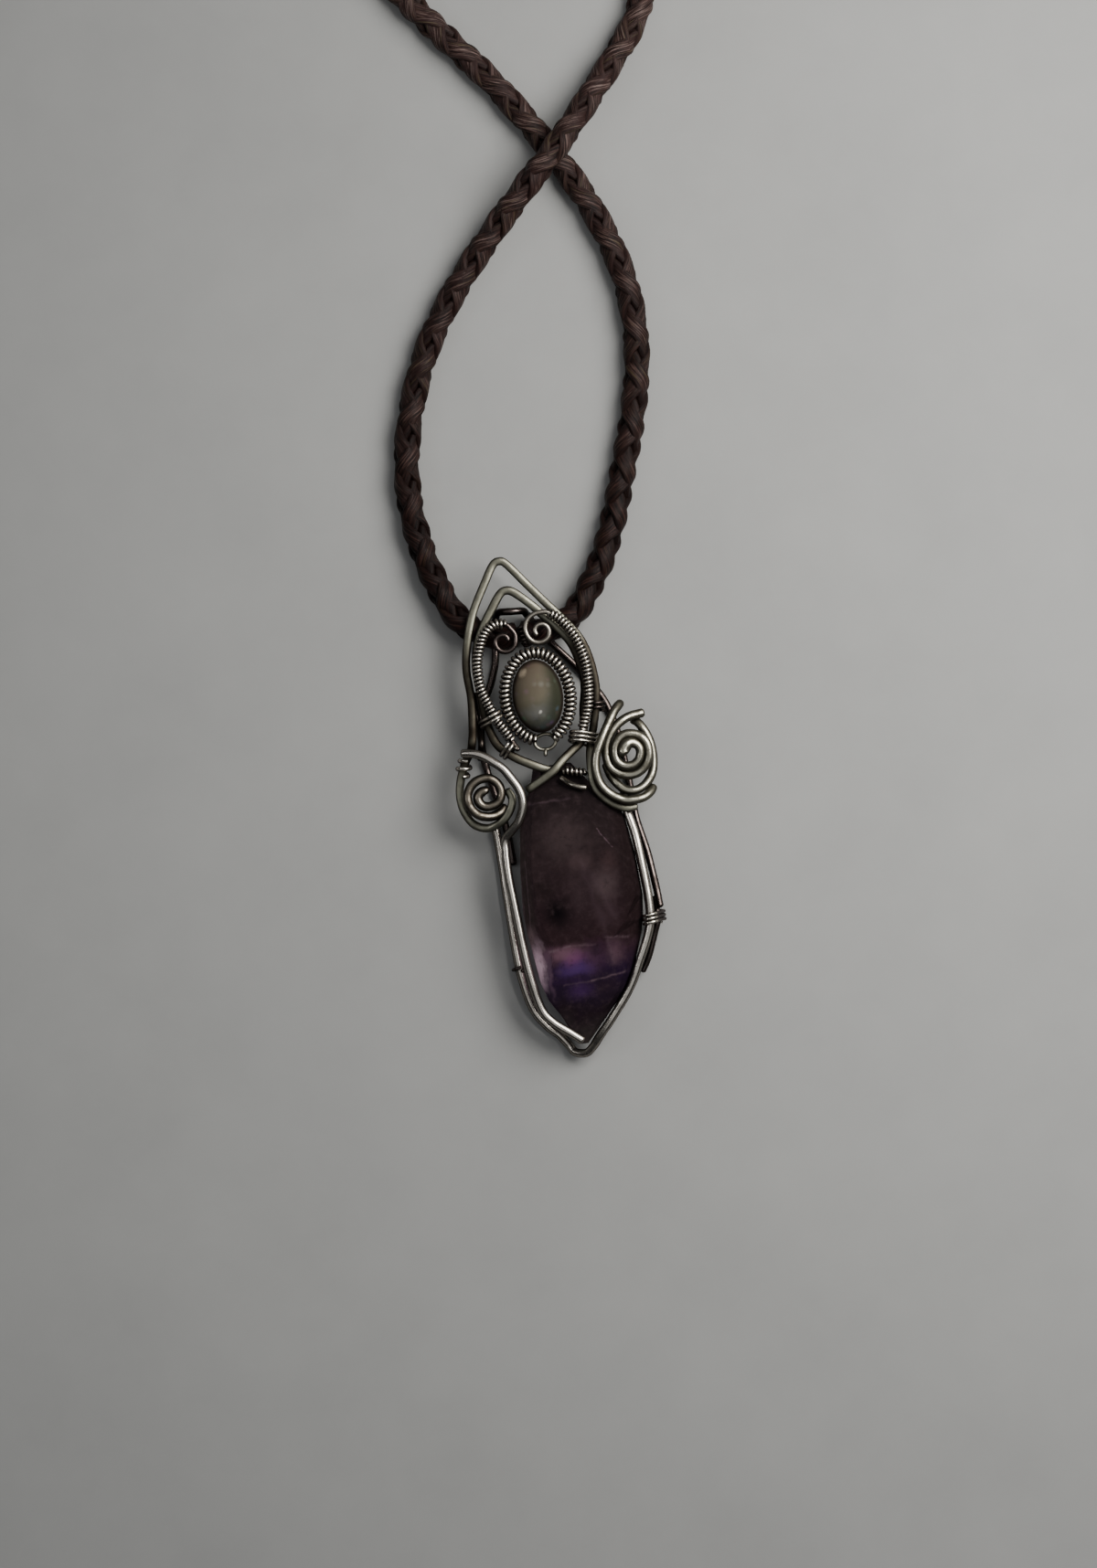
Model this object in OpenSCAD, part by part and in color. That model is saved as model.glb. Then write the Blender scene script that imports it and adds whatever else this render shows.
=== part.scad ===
// Wire-wrapped crystal pendant, lying on its back on a braided cord loop.
// Millimetres. +Y runs from the crystal's point to the bail, +X to the right of
// the front view, +Z up from the surface that the pendant lies on.

/* [Stones] */
// Thickness of the crystal from its back face to its front face
crystal_t = 7; // [6.7:0.1:7]
// Width of the opal across its girdle
opal_w = 5.5; // [5:0.1:5.6]
// Length of the opal
opal_l = 8; // [7.6:0.1:8.1]
// Height of the opal from its base to the top of its dome
opal_h = 3; // [2.4:0.1:3.4]

/* [Wires] */
// Diameter of the two wires that run down the crystal's edges
frame_d = 0.95; // [0.8:0.05:1]
// Diameter of the outer bail arch and of its legs
arch_d = 0.8; // [0.65:0.05:0.85]
// Diameter of the inner bail arch and of the two legs that cross below the opal
cross_d = 0.85; // [0.7:0.05:0.9]
// Diameter of the rosette wires
rosette_d = 0.86; // [0.7:0.02:0.9]
// Diameter of the wire behind the cord
back_d = 0.8; // [0.65:0.05:0.8]
// Diameter of the bare wire inside the coils
core_d = 0.55; // [0.45:0.05:0.6]
// Diameter of the fine wire of the bindings
fine_d = 0.36; // [0.3:0.02:0.36]

/* [Coils] */
// Outer diameter of the coiled arms
arm_coil_d = 1.2; // [1.1:0.05:1.25]
// Outer diameter of the coil round the opal
ring_coil_d = 1.25; // [1.15:0.05:1.3]
// Outer diameter of the collar's coil
neck_coil_d = 1.05; // [0.95:0.05:1.1]

/* [Cord] */
// Diameter of the braided cord
cord_d = 3; // [2.8:0.1:3.1]
// Diameter of the barrel clasp
clasp_d = 4.2; // [3.8:0.1:4.2]

/* [Hidden] */

silver = [0.72, 0.71, 0.67];
dull_silver = [0.5, 0.49, 0.46];
amethyst = [0.36, 0.26, 0.44];
milky = [0.74, 0.7, 0.6];
braid = [0.3, 0.22, 0.24];

// Moves the middle of the pendant's own box onto the origin
centring = [0.14, 0.14, -0.01];
// Sides of a swept wire, of a coil's tube, of a fine binding wire and of the cord
wire_sides = 6;
coil_sides = 8;
fine_sides = 5;
cord_sides = 8;
// Degrees from one point of a spiral to the next
spiral_step = 24;
scroll_step = 30;
// Points in one turn of a binding
turn_points = 12;
// Gap between a core and the coil wound on it, and between a binding and its wire
coil_gap = 0.05;

// Crystal sections from its root to its point, at its full thickness. Columns: y, left edge, front face from
// and to, right edge, back face from and to, front z, back z
full_t = 7;
CRYSTAL = [
    [4.4, -2.6, -1.6, 0.6, 1.6, -1.8, 0.8, 3.7, 2.6],
    [2.2, -3.2, -2.2, 1.2, 3.2, -2.2, 2.2, 4.7, 1.9],
    [0.6, -4.0, -3.0, 1.7, 5.0, -3.0, 4.0, 6.4, 1.5],
    [-2.0, -4.9, -3.6, 3.2, 6.6, -3.9, 5.6, 7.7, 1.2],
    [-6.3, -5.5, -4.2, 5.4, 7.2, -4.2, 6.0, 8.1, 1.1],
    [-11, -5.85, -4.2, 6.5, 7.4, -4.4, 6.0, 8.1, 1.1],
    [-13.6, -5.7, -3.6, 5.0, 7.1, -4.2, 5.6, 7.8, 1.1],
    [-15.2, -5.5, -3.0, 3.4, 6.7, -4.0, 5.0, 7.5, 1.2],
    [-19.2, -5.0, -4.0, 4.1, 5.25, -3.6, 3.6, 6.5, 1.5],
    [-21.2, -4.4, -4.0, 3.1, 4.1, -3.2, 2.4, 5.6, 1.7],
    [-23, -3.3, -3.0, 1.5, 2.4, -2.4, 0.9, 4.7, 2.0],
    [-26.4, -1.7, -1.6, -1.0, -0.7, -1.6, -1.1, 3.0, 2.4]];

// Share of the thickness at which the crystal's side edges sit
side_edge = 0.46;

// Opal profile. Columns: share of the height, share of the girdle's size
OPAL_PROFILE = [[0, 0.86], [0.2, 1], [0.42, 0.97], [0.66, 0.84], [0.84, 0.62], [0.96, 0.34], [1, 0.1]];
opal_at = [-0.95, 12.05, 5];
opal_points = 24;

// The ring round the opal: middle, half width and half length of its oval, and where its coil starts and ends
ring_at = [-0.95, 12, 5.75];
ring_a = 3.5;
ring_b = 4.85;
ring_from = -72;
ring_to = 254;
ring_step = 12;
// The bare ends of its core, and the small oval loop with a short stem that hangs between them
ring_core_out = 0.25;
loop_at = [-0.85, 7, 4.95];
loop_a = 1.15;
loop_b = 0.85;
loop_d = 0.4;
loop_points = 20;
STEM = [[-0.95, 6.1, 5.0], [-1.0, 5.75, 5.15], [-1.02, 5.4, 5.1]];

// Wire routes. Columns: x, y, z of the points that a wire runs through
stay_d = 0.7;
stub_d = 0.7;
neck_wire_d = 0.65;
OUTER_ARCH = [
    [-5.8, 2.5, 5.5], [-5.3, 1.4, 5.5], [-5.6, 0.3, 5.5], [-6.5, -0.8, 5.2], [-8.2, -1.5, 4.6],
    [-9.8, -0.9, 4.3], [-10.7, 0.7, 4.3], [-10.9, 2.6, 4.3], [-10.5, 4.4, 4.4], [-9.8, 6.0, 4.6],
    [-9.1, 7.0, 4.9], [-8.75, 8.1, 5.5], [-8.5, 9.6, 5.0], [-8.35, 11.0, 4.8], [-8.2, 13.0, 4.7],
    [-8.3, 15.9, 4.7], [-7.9, 18.4, 4.7], [-6.8, 21.9, 4.6], [-4.9, 25.3, 4.5], [-3.9, 26.9, 4.4],
    [-3.2, 27.3, 4.4], [-2.4, 26.9, 4.4], [-0.4, 24.3, 4.5], [1.3, 22.1, 4.6], [2.9, 20.1, 4.7],
    [4.4, 17.9, 4.7], [5.2, 15.5, 4.7], [5.5, 12.5, 4.7], [5.2, 10.3, 4.7], [4.7, 8.2, 4.6],
    [4.2, 6.6, 4.5], [3.8, 4.8, 4.9], [3.7, 3.0, 5.3], [3.8, 1.5, 5.4], [4.5, 0.3, 5.5], [5.7, -0.8, 5.5],
    [7.0, -1.4, 5.5], [8.2, -1.3, 5.3]];
INNER_ARCH = [
    [-3.6, 2.0, 5.3], [-2.8, 2.4, 5.6], [-0.6, 3.6, 5.9], [0.7, 4.7, 5.7], [1.9, 5.6, 5.2], [3.0, 6.5, 4.8],
    [3.6, 8.2, 4.6], [3.8, 10.0, 4.6], [4.3, 12.5, 4.6], [4.1, 15.0, 4.6], [3.4, 17.4, 4.6],
    [2.1, 19.3, 4.6], [0.9, 20.7, 4.6], [-0.3, 22.1, 4.6], [-2.0, 23.7, 4.6], [-2.9, 24.0, 4.6],
    [-3.6, 23.6, 4.6], [-4.7, 22.1, 4.6], [-5.7, 20.6, 4.6], [-6.7, 18.6, 4.6], [-7.2, 16.0, 4.6],
    [-7.1, 13.0, 4.6], [-7.0, 10.8, 4.6], [-6.7, 9.1, 4.8], [-6.0, 7.3, 5.0], [-4.4, 5.8, 5.0],
    [-2.2, 4.5, 4.9], [-0.9, 3.9, 4.7], [-0.2, 3.75, 4.5]];
LEFT_STAY = [
    [-7.8, 13.5, 3.4], [-7.9, 11.8, 3.4], [-7.85, 10.2, 3.6], [-7.85, 8.9, 4.5], [-7.8, 7.75, 5.3],
    [-7.95, 6.9, 4.9], [-8.2, 6.0, 4.1]];
BACK_FRAME = [
    [-6.2, -6, 0.42], [-6.4, -2, 0.42], [-7.1, 2, 0.42], [-7.8, 6, 0.42], [-7.7, 9, 0.42], [-7.0, 12, 0.42],
    [-5.9, 14.2, 0.42], [-5.1, 16.4, 0.42], [-4.8, 18.6, 0.42], [-4.6, 20.4, 0.55], [-4.3, 21.4, 1.4],
    [-3.9, 21.8, 2.8], [-2.6, 21.7, 3.3], [-1.3, 21.6, 2.8], [-0.9, 21.2, 1.4], [-0.3, 20.2, 0.55],
    [1.4, 17.7, 0.42], [3.7, 14.8, 0.42], [5.6, 11.9, 0.42], [6.5, 10, 0.42], [7.2, 7, 0.42],
    [7.6, 3, 0.42], [7.8, 0, 0.5], [7.95, -2.8, 0.75], [8.6, -6.4, 1.5], [9.0, -10.4, 2.4],
    [9.15, -12.8, 2.8]];
LEFT_FRAME = [
    [-1.2, -26.1, 4.0], [-2.5, -25.0, 4.3], [-4.2, -23.6, 4.4], [-5.3, -22.0, 4.5], [-5.95, -18.8, 4.9],
    [-6.35, -15.3, 5.1], [-6.6, -11.2, 5.2], [-6.85, -7.2, 5.2], [-6.8, -4.2, 5.1], [-6.6, -2.9, 5.2],
    [-5.8, -2.1, 5.8], [-4.9, -1.2, 6.3], [-4.25, 0.2, 6.7], [-4.2, 1.4, 6.8], [-4.5, 2.5, 6.8],
    [-5.1, 3.6, 6.8], [-5.8, 4.7, 6.7], [-6.8, 5.6, 6.6], [-7.7, 6.3, 6.4], [-8.8, 6.8, 6.2],
    [-10.2, 7.0, 5.8]];
RIGHT_FRAME = [
    [6.6, 0.4, 4.3], [6.9, -1.3, 4.5], [7.5, -4.3, 5.0], [7.75, -7.5, 5.3], [7.95, -11.1, 5.4],
    [7.85, -13.7, 5.4], [7.25, -15.7, 5.3], [6.0, -18.3, 5.0], [4.5, -21.1, 4.5], [2.2, -24.0, 3.8],
    [0.6, -25.8, 3.1], [-0.2, -26.8, 2.4], [-1.1, -27.5, 1.7], [-2.3, -27.3, 1.0], [-2.9, -26.4, 0.6],
    [-3.8, -25.2, 0.5], [-5.0, -24.0, 0.6], [-6.3, -21.8, 0.9], [-7.1, -17.5, 1.2], [-7.35, -11.0, 1.0],
    [-7.45, -4.5, 0.7], [-7.6, -1.5, 0.6]];
BACK_STUB = [[8.7, -11.4, 1.6], [8.75, -13.8, 2.2], [8.2, -15.4, 2.0], [7.2, -17.9, 1.6], [6.2, -19.6, 1.2]];
RIGHT_SWEEP = [
    [7.1, 9.3, 3.4], [7.8, 10.0, 4.4], [7.1, 9.3, 5.5], [6.1, 7.8, 6.2], [5.2, 6.3, 6.5], [4.5, 4.9, 6.6],
    [4.2, 3.5, 6.6], [4.3, 2.2, 6.5], [4.7, 1.2, 6.4], [5.5, 0.3, 6.3], [6.6, -0.4, 6.2], [7.7, -0.6, 6.2],
    [8.9, -0.5, 6.0], [9.8, 0.0, 5.4], [10.2, 0.6, 4.6]];
RIGHT_LOOP = [
    [5.4, 3.9, 4.5], [5.6, 2.8, 4.6], [6.1, 1.7, 5.0], [6.9, 0.75, 5.3], [7.8, 0.4, 5.4], [8.7, 0.5, 5.3],
    [9.6, 1.1, 5.1], [10.3, 2.1, 4.9], [10.6, 3.4, 4.8], [10.6, 4.8, 4.8], [10.3, 6.2, 4.7],
    [9.7, 7.4, 4.6], [9.2, 8.0, 4.0], [9.2, 7.9, 3.2]];
NECK_COIL = [[0.7, 3.65, 4.9], [1.8, 3.35, 4.95], [2.9, 3.05, 4.7]];
neck_core_out = 0.4;
NECK_WIRE = [[0.2, 3.0, 5.1], [0.7, 2.5, 5.4], [1.4, 1.95, 5.9], [2.3, 1.55, 6.1], [3.0, 1.4, 6.0]];
LEFT_COIL = [
    [-3.4, 20.3, 5.8], [-4.6, 20.45, 5.8], [-5.8, 19.6, 5.8], [-6.5, 18.2, 5.8], [-7.0, 16.6, 5.8],
    [-7.1, 15.0, 5.8], [-6.95, 13.4, 5.8], [-6.4, 11.8, 5.8], [-5.85, 10.2, 5.85], [-5.1, 8.9, 5.9],
    [-4.5, 7.7, 5.9]];
LEFT_TAIL = [[-4.15, 7.0, 5.85], [-3.8, 6.4, 5.75]];
RIGHT_COIL = [
    [1.5, 20.9, 5.8], [2.6, 20.1, 5.8], [3.8, 18.3, 5.8], [4.4, 16.7, 5.8], [4.75, 14.8, 5.8],
    [4.7, 13.0, 5.8], [4.55, 11.5, 5.8], [4.3, 10.1, 5.8], [3.8, 8.8, 5.8], [3.35, 7.8, 5.8]];
RIGHT_TAIL = [[2.95, 7.0, 5.75], [2.6, 6.4, 5.8]];

// Scrolls and spirals. Tables of angle turned through from the start and radius there
left_scroll_at = [-3.75, 18.45, 5.8];
left_scroll_from = 58;
LEFT_SCROLL = [[0, 1.6], [60, 1.25], [150, 1.1], [260, 0.95], [360, 0.6], [430, 0.35]];
right_scroll_at = [0.3, 19, 5.8];
right_scroll_from = 72;
RIGHT_SCROLL = [
    [0, 2.2], [60, 1.9], [120, 1.45], [200, 1.12], [280, 0.98], [360, 0.85], [440, 0.62], [520, 0.45]];
left_spiral_at = [-8, 1.9, 0];
left_spiral_from = 60;
LEFT_SPIRAL = [
    [0, 0.5], [120, 1], [230, 1.08], [310, 1.65], [370, 2.05], [480, 2.1], [560, 2.15], [630, 2.3]];
LEFT_SPIRAL_Z = [[0, 5.9], [300, 6], [500, 6.2], [545, 6], [630, 4.7]];
right_spiral_at = [8.35, 4.4, 0];
right_spiral_from = 190;
RIGHT_SPIRAL = [
    [0, 0.8], [50, 1.05], [100, 1.24], [150, 1.08], [200, 0.9], [250, 1], [300, 1.35], [345, 1.8],
    [385, 1.85], [440, 2.25], [500, 2.1], [550, 1.85], [600, 1.95], [655, 2.35], [705, 2.75], [740, 2.8],
    [775, 3.1], [805, 3.6], [832, 4.3], [845, 4.75]];
RIGHT_SPIRAL_Z = [
    [0, 6.5], [200, 6.2], [550, 6.1], [640, 5.9], [700, 5.7], [780, 5.6], [815, 5.4], [845, 4.6]];

// Bindings. Columns: middle of the first wire, middle of the second, way along the wires, radius of the
// turns, turns, pitch
BIND_LEFT_UP = [[-6, 10.35, 5.9], [-6.8, 10.3, 4.75], [0.3, -1, 0], 0.9, 2, 0.5];
BIND_LEFT_LOW = [[-5.05, 6.3, 5], [-4.1, 6.8, 5.8], [0.7, -0.7, 0], 0.74, 2, 0.56];
BIND_RIGHT_UP = [[5.2, 10.1, 4.65], [5.4, 10.1, 4.55], [-0.15, -1, 0], 0.67, 2, 0.48];
BIND_RIGHT_LOW = [[2.85, 6.8, 5.3], [4.1, 6.7, 4.6], [-0.3, -1, 0.1], 1.02, 3, 0.46];
BIND_ROSETTE = [[-10.05, 5.4, 4.5], [-10.05, 5.4, 4.55], [0.42, 1, 0.1], 0.68, 2, 0.9];
BIND_SIDE = [[7.85, -13.7, 5.4], [8.75, -13.8, 2.3], [0, -1, 0], 0.76, 3, 0.42];
BIND_SIDE_LEFT = [[-7.1, -17.4, 1.15], [-7.1, -17.4, 1.2], [-0.1, 1, 0], 0.74, 1, 0.42];
rosette_tie_d = 0.45;

// The short post between the scrolls and the lashing on it
POST = [[-1.5, 17.85, 4.88], [-1.65, 20.2, 4.88]];
post_d = 0.45;
lash_turns = 4;
lash_pitch = 0.46;

// Cord routes from the middle of the bail to the clasp, and the clasp's place
CORD_LEFT = [
    [-2, 19.1, 2.5], [-3.8, 19.15, 2.5], [-5.6, 19.6, 2.5], [-7.3, 20.6, 2.5], [-8.7, 22.2, 2.4],
    [-9.8, 24.7, 2.2], [-11.1, 28.9, 1.8], [-11.9, 34.5, 1.55], [-11.6, 40, 1.55], [-10.1, 46, 1.55],
    [-7.5, 52, 1.55], [-3.9, 57.4, 1.8], [0.4, 62.4, 2.6], [4.8, 66.9, 4.1], [9.2, 71.2, 4.85],
    [12.8, 75.2, 4.1], [16.6, 79.8, 2.6], [20, 84.4, 1.7], [22, 89.6, 1.55], [22.4, 95.6, 1.55],
    [22.5, 103, 1.55], [22.5, 112, 1.55], [22.5, 121, 1.55], [22.5, 130, 1.55], [22.5, 139, 1.55],
    [22.5, 148, 1.55], [22.5, 157, 1.55], [22.5, 166, 1.55], [22.5, 175, 1.55], [22.5, 184, 1.55],
    [22.5, 192, 1.55], [22.5, 198, 1.55], [22.5, 204.6, 1.55], [21.8, 209, 1.6], [19.4, 212.9, 1.7],
    [15.9, 215.5, 1.9], [13.2, 216.2, 2.1], [11.6, 216.2, 2.1]];
CORD_RIGHT = [
    [-2, 19.1, 2.5], [-0.2, 19.05, 2.5], [1.5, 19.15, 2.5], [3.1, 19.75, 2.5], [4.5, 20.8, 2.4],
    [5.7, 22.25, 2.3], [8.2, 26.2, 2.0], [10.2, 30.8, 1.7], [11.9, 35.8, 1.55], [13.6, 41, 1.55],
    [14.9, 46.6, 1.55], [15.3, 52, 1.55], [14.7, 57.4, 1.55], [13, 63, 1.55], [10.5, 68.5, 1.55],
    [7.2, 74.2, 1.55], [3.4, 79.9, 1.55], [-0.6, 84.9, 1.55], [-4.4, 89.8, 1.55], [-7.8, 95, 1.55],
    [-10.3, 100.8, 1.55], [-11.4, 107, 1.55], [-11.6, 115, 1.55], [-11.6, 124, 1.55], [-11.6, 133, 1.55],
    [-11.6, 142, 1.55], [-11.6, 151, 1.55], [-11.6, 160, 1.55], [-11.6, 169, 1.55], [-11.6, 178, 1.55],
    [-11.6, 186, 1.55], [-11.6, 192, 1.55], [-11.6, 198, 1.55], [-11.6, 204.6, 1.55], [-10.9, 209, 1.6],
    [-8.5, 212.9, 1.7], [-4.8, 215.5, 1.9], [-2, 216.2, 2.1], [-0.4, 216.2, 2.1]];
clasp_at = [5.6, 216.2, 2.1];

// Vector helpers
function unit(v) = v / norm(v);
function across(v, t) = unit(v - (v * t) * t);

// One point of a smooth curve through four points, at share s between the middle two
function curve_point(a, b, c, d, s) =
    0.5 * (2 * b + (c - a) * s + (2 * a - 5 * b + 4 * c - d) * s * s + (3 * b - a - 3 * c + d) * s * s * s);

// A smooth curve through all points of p, with k steps between neighbours
function smooth(p, k = 2) = let (n = len(p)) concat(
    [for (i = [0 : n - 2]) for (s = [0 : k - 1])
        curve_point(p[max(i - 1, 0)], p[i], p[i + 1], p[min(i + 2, n - 1)], s / k)],
    [p[n - 1]]);

// Way along the path at each of its points
function headings(p) = let (n = len(p)) [for (i = [0 : n - 1]) unit(p[min(i + 1, n - 1)] - p[max(i - 1, 0)])];

// A side direction at each point, carried along the path without twisting
function sides_of(t) =
    let (first = across(abs(t[0][2]) > 0.9 ? [1, 0, 0] : [0, 0, 1], t[0]))
    [for (i = 0, u = first; i < len(t); i = i + 1, u = i < len(t) ? across(u, t[i]) : u) u];

// Rings of points with m corners and radius r round each point of a path
function rings_on(p, r, m) =
    let (t = headings(p), u = sides_of(t))
    [for (i = [0 : len(p) - 1]) let (v = cross(t[i], u[i]))
        [for (j = [0 : m - 1]) p[i] + r * (cos(360 * j / m) * u[i] + sin(360 * j / m) * v)]];

// Points on a flat spiral. table gives the radius for the angle turned through, heights the height
function spiral(middle, from, table, heights, way, step) =
    let (last = table[len(table) - 1][0], n = ceil(last / step))
    [for (i = [0 : n]) let (turned = last * i / n, r = lookup(turned, table), a = from + way * turned)
        [middle[0] + r * cos(a), middle[1] + r * sin(a), middle[2] + lookup(turned, heights)]];

// Points of a fine wire wound n times round two wires whose middles are c1 and c2
function winding(b) =
    let (a = unit(b[2]), gap = b[1] - b[0], half = norm(gap - (gap * a) * a) / 2, w = across(gap, a),
         middle = (b[0] + b[1]) / 2, up = cross(a, w), n = b[4] * turn_points)
    [for (k = [0 : n]) let (th = 360 * (k + 0.5) / turn_points, far = cos(th) >= 0 ? half : -half)
        middle + w * (b[3] * cos(th) + far) + up * b[3] * sin(th) + a * b[5] * (k / turn_points - b[4] / 2)];

// A path with a straight piece of length e added at both ends
function run_out(p, e) = let (n = len(p))
    concat([p[0] + e * unit(p[0] - p[1])], p, [p[n - 1] + e * unit(p[n - 1] - p[n - 2])]);

// The two triangles of a face with four corners
function halves(q) = [[q[0], q[1], q[2]], [q[0], q[2], q[3]]];

// A solid through rings of equal length, each turning right-handed about the way of travel. joined closes the
// last ring onto the first, otherwise both ends get a flat cap
module loft(rings, joined = false) {
    m = len(rings[0]);
    n = len(rings);
    polyhedron(
        points = [for (ring = rings) each ring],
        faces = concat(
            [for (i = [0 : joined ? n - 1 : n - 2]) for (j = [0 : m - 1]) let (k = (i + 1) % n)
                each halves([i * m + j, k * m + j, k * m + (j + 1) % m, i * m + (j + 1) % m])],
            joined ? [] : [[for (j = [0 : m - 1]) j], [for (j = [0 : m - 1]) n * m - 1 - j]]),
        convexity = 6);
}

// A round wire along a path
module wire(path, d, sides = wire_sides) {
    loft(rings_on(path, d / 2, sides));
}

// A hollow tube along a path, for a coil wound on a core
module sleeve(path, outer_d, inner_d) {
    m = coil_sides;
    n = len(path);
    outer = rings_on(path, outer_d / 2, m);
    inner = rings_on(path, inner_d / 2, m);
    bore = n * m;
    end = bore - m;
    polyhedron(
        points = [for (ring = concat(outer, inner)) each ring],
        faces = concat(
            [for (i = [0 : n - 2]) for (j = [0 : m - 1]) let (a = i * m + j, b = i * m + (j + 1) % m)
                each concat(halves([a, a + m, b + m, b]),
                            halves([bore + b, bore + b + m, bore + a + m, bore + a]))],
            [for (j = [0 : m - 1]) let (k = (j + 1) % m)
                each [[j, k, bore + k, bore + j], [bore + end + j, bore + end + k, end + k, end + j]]]),
        convexity = 8);
}

module placed() {
    translate(centring) children();
}

// The oval that the ring round the opal follows
ring_steps = round((ring_to - ring_from) / ring_step);
ring_path = [for (i = [0 : ring_steps]) let (a = ring_from + (ring_to - ring_from) * i / ring_steps)
    ring_at + [ring_a * cos(a), ring_b * sin(a), 0]];
left_path = smooth(LEFT_COIL);
right_path = smooth(RIGHT_COIL);
neck_path = smooth(NECK_COIL);
bore_d = core_d + 2 * coil_gap;

module crystal() {
    placed() color(amethyst) loft([for (r = CRYSTAL)
        let (t = (r[7] - r[8]) * crystal_t / full_t, front = r[8] + t, side = r[8] + side_edge * t) [
            [r[1], r[0], side], [r[5], r[0], r[8]], [r[6], r[0], r[8]],
            [r[4], r[0], side], [r[3], r[0], front], [r[2], r[0], front]]]);
}

module opal() {
    placed() color(milky) loft([for (r = OPAL_PROFILE)
        [for (i = [0 : opal_points - 1]) let (a = 360 * i / opal_points)
            opal_at + [opal_w / 2 * r[1] * cos(a), opal_l / 2 * r[1] * sin(a), opal_h * r[0]]]]);
}

module opal_ring_coil() { placed() color(silver) sleeve(ring_path, ring_coil_d, bore_d); }
module opal_ring_core() {
    placed() color(dull_silver) wire(run_out(ring_path, ring_core_out), core_d, coil_sides);
}
module ring_loop() {
    rim = [for (i = [0 : loop_points - 1])
        let (a = 360 * i / loop_points, out = unit([loop_b * cos(a), loop_a * sin(a), 0]))
        [for (j = [0 : wire_sides - 1]) let (b = 360 * j / wire_sides)
            loop_at + [loop_a * cos(a), loop_b * sin(a), 0]
                + loop_d / 2 * (cos(b) * [0, 0, 1] + sin(b) * out)]];
    placed() color(silver) union() {
        loft(rim, true);
        wire(STEM, loop_d);
    }
}

module left_coil() { placed() color(silver) sleeve(left_path, arm_coil_d, bore_d); }
module left_scroll() {
    curl = spiral(left_scroll_at, left_scroll_from, LEFT_SCROLL, [[0, 0]], -1, scroll_step);
    path = concat([for (i = [len(curl) - 1 : -1 : 0]) curl[i]], left_path, smooth(LEFT_TAIL));
    placed() color(dull_silver) wire(path, core_d, coil_sides);
}

module right_coil() { placed() color(silver) sleeve(right_path, arm_coil_d, bore_d); }
module right_scroll() {
    curl = spiral(right_scroll_at, right_scroll_from, RIGHT_SCROLL, [[0, 0]], 1, scroll_step);
    path = concat([for (i = [len(curl) - 1 : -1 : 0]) curl[i]], right_path, smooth(RIGHT_TAIL));
    placed() color(dull_silver) wire(path, core_d, coil_sides);
}

module outer_arch() { placed() color(silver) wire(smooth(OUTER_ARCH), arch_d); }
module inner_arch() { placed() color(silver) wire(smooth(INNER_ARCH), cross_d); }
module left_stay() { placed() color(silver) wire(smooth(LEFT_STAY), stay_d); }
module back_frame() { placed() color(dull_silver) wire(smooth(BACK_FRAME), back_d); }
module left_frame() { placed() color(silver) wire(smooth(LEFT_FRAME), frame_d); }
module right_frame() { placed() color(silver) wire(smooth(RIGHT_FRAME), frame_d); }
module back_stub() { placed() color(dull_silver) wire(smooth(BACK_STUB), stub_d); }

module left_spiral() {
    path = spiral(left_spiral_at, left_spiral_from, LEFT_SPIRAL, LEFT_SPIRAL_Z, 1, spiral_step);
    placed() color(silver) wire(path, rosette_d);
}
module right_spiral() {
    path = spiral(right_spiral_at, right_spiral_from, RIGHT_SPIRAL, RIGHT_SPIRAL_Z, -1, spiral_step);
    placed() color(silver) wire(path, rosette_d);
}
module right_sweep() { placed() color(silver) wire(smooth(RIGHT_SWEEP), rosette_d); }
module right_loop() { placed() color(silver) wire(smooth(RIGHT_LOOP), rosette_d); }

module neck_coil() { placed() color(silver) sleeve(neck_path, neck_coil_d, bore_d); }
module neck_core() {
    placed() color(dull_silver) wire(run_out(neck_path, neck_core_out), core_d, coil_sides);
}
module neck_wire() { placed() color(dull_silver) wire(smooth(NECK_WIRE), neck_wire_d); }

module tie_post() { placed() color(dull_silver) wire(POST, post_d); }
module top_lash() {
    middle = (POST[0] + POST[1]) / 2;
    side = [0.05, 0, 0];
    placed() color(dull_silver)
        wire(winding([middle - side, middle + side, POST[1] - POST[0], post_d / 2 + fine_d / 2 + coil_gap,
                      lash_turns, lash_pitch]), fine_d, fine_sides);
}

module binding_left_up() { placed() color(silver) wire(winding(BIND_LEFT_UP), fine_d, fine_sides); }
module binding_left_low() { placed() color(silver) wire(winding(BIND_LEFT_LOW), fine_d, fine_sides); }
module binding_right_up() { placed() color(dull_silver) wire(winding(BIND_RIGHT_UP), fine_d, fine_sides); }
module binding_right_low() { placed() color(silver) wire(winding(BIND_RIGHT_LOW), fine_d, fine_sides); }
module binding_rosette() { placed() color(silver) wire(winding(BIND_ROSETTE), rosette_tie_d, fine_sides); }
module binding_side() { placed() color(dull_silver) wire(winding(BIND_SIDE), fine_d, fine_sides); }
module binding_side_left() { placed() color(dull_silver) wire(winding(BIND_SIDE_LEFT), fine_d, fine_sides); }

module cord_left() { placed() color(braid) wire(CORD_LEFT, cord_d, cord_sides); }
module cord_right() { placed() color(braid) wire(CORD_RIGHT, cord_d, cord_sides); }
module clasp() {
    clasp_l = CORD_LEFT[len(CORD_LEFT) - 1][0] - CORD_RIGHT[len(CORD_RIGHT) - 1][0];
    placed() color(silver) translate(clasp_at) rotate([0, 90, 0])
        cylinder(h = clasp_l, d = clasp_d, center = true, $fn = 40);
}

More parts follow.
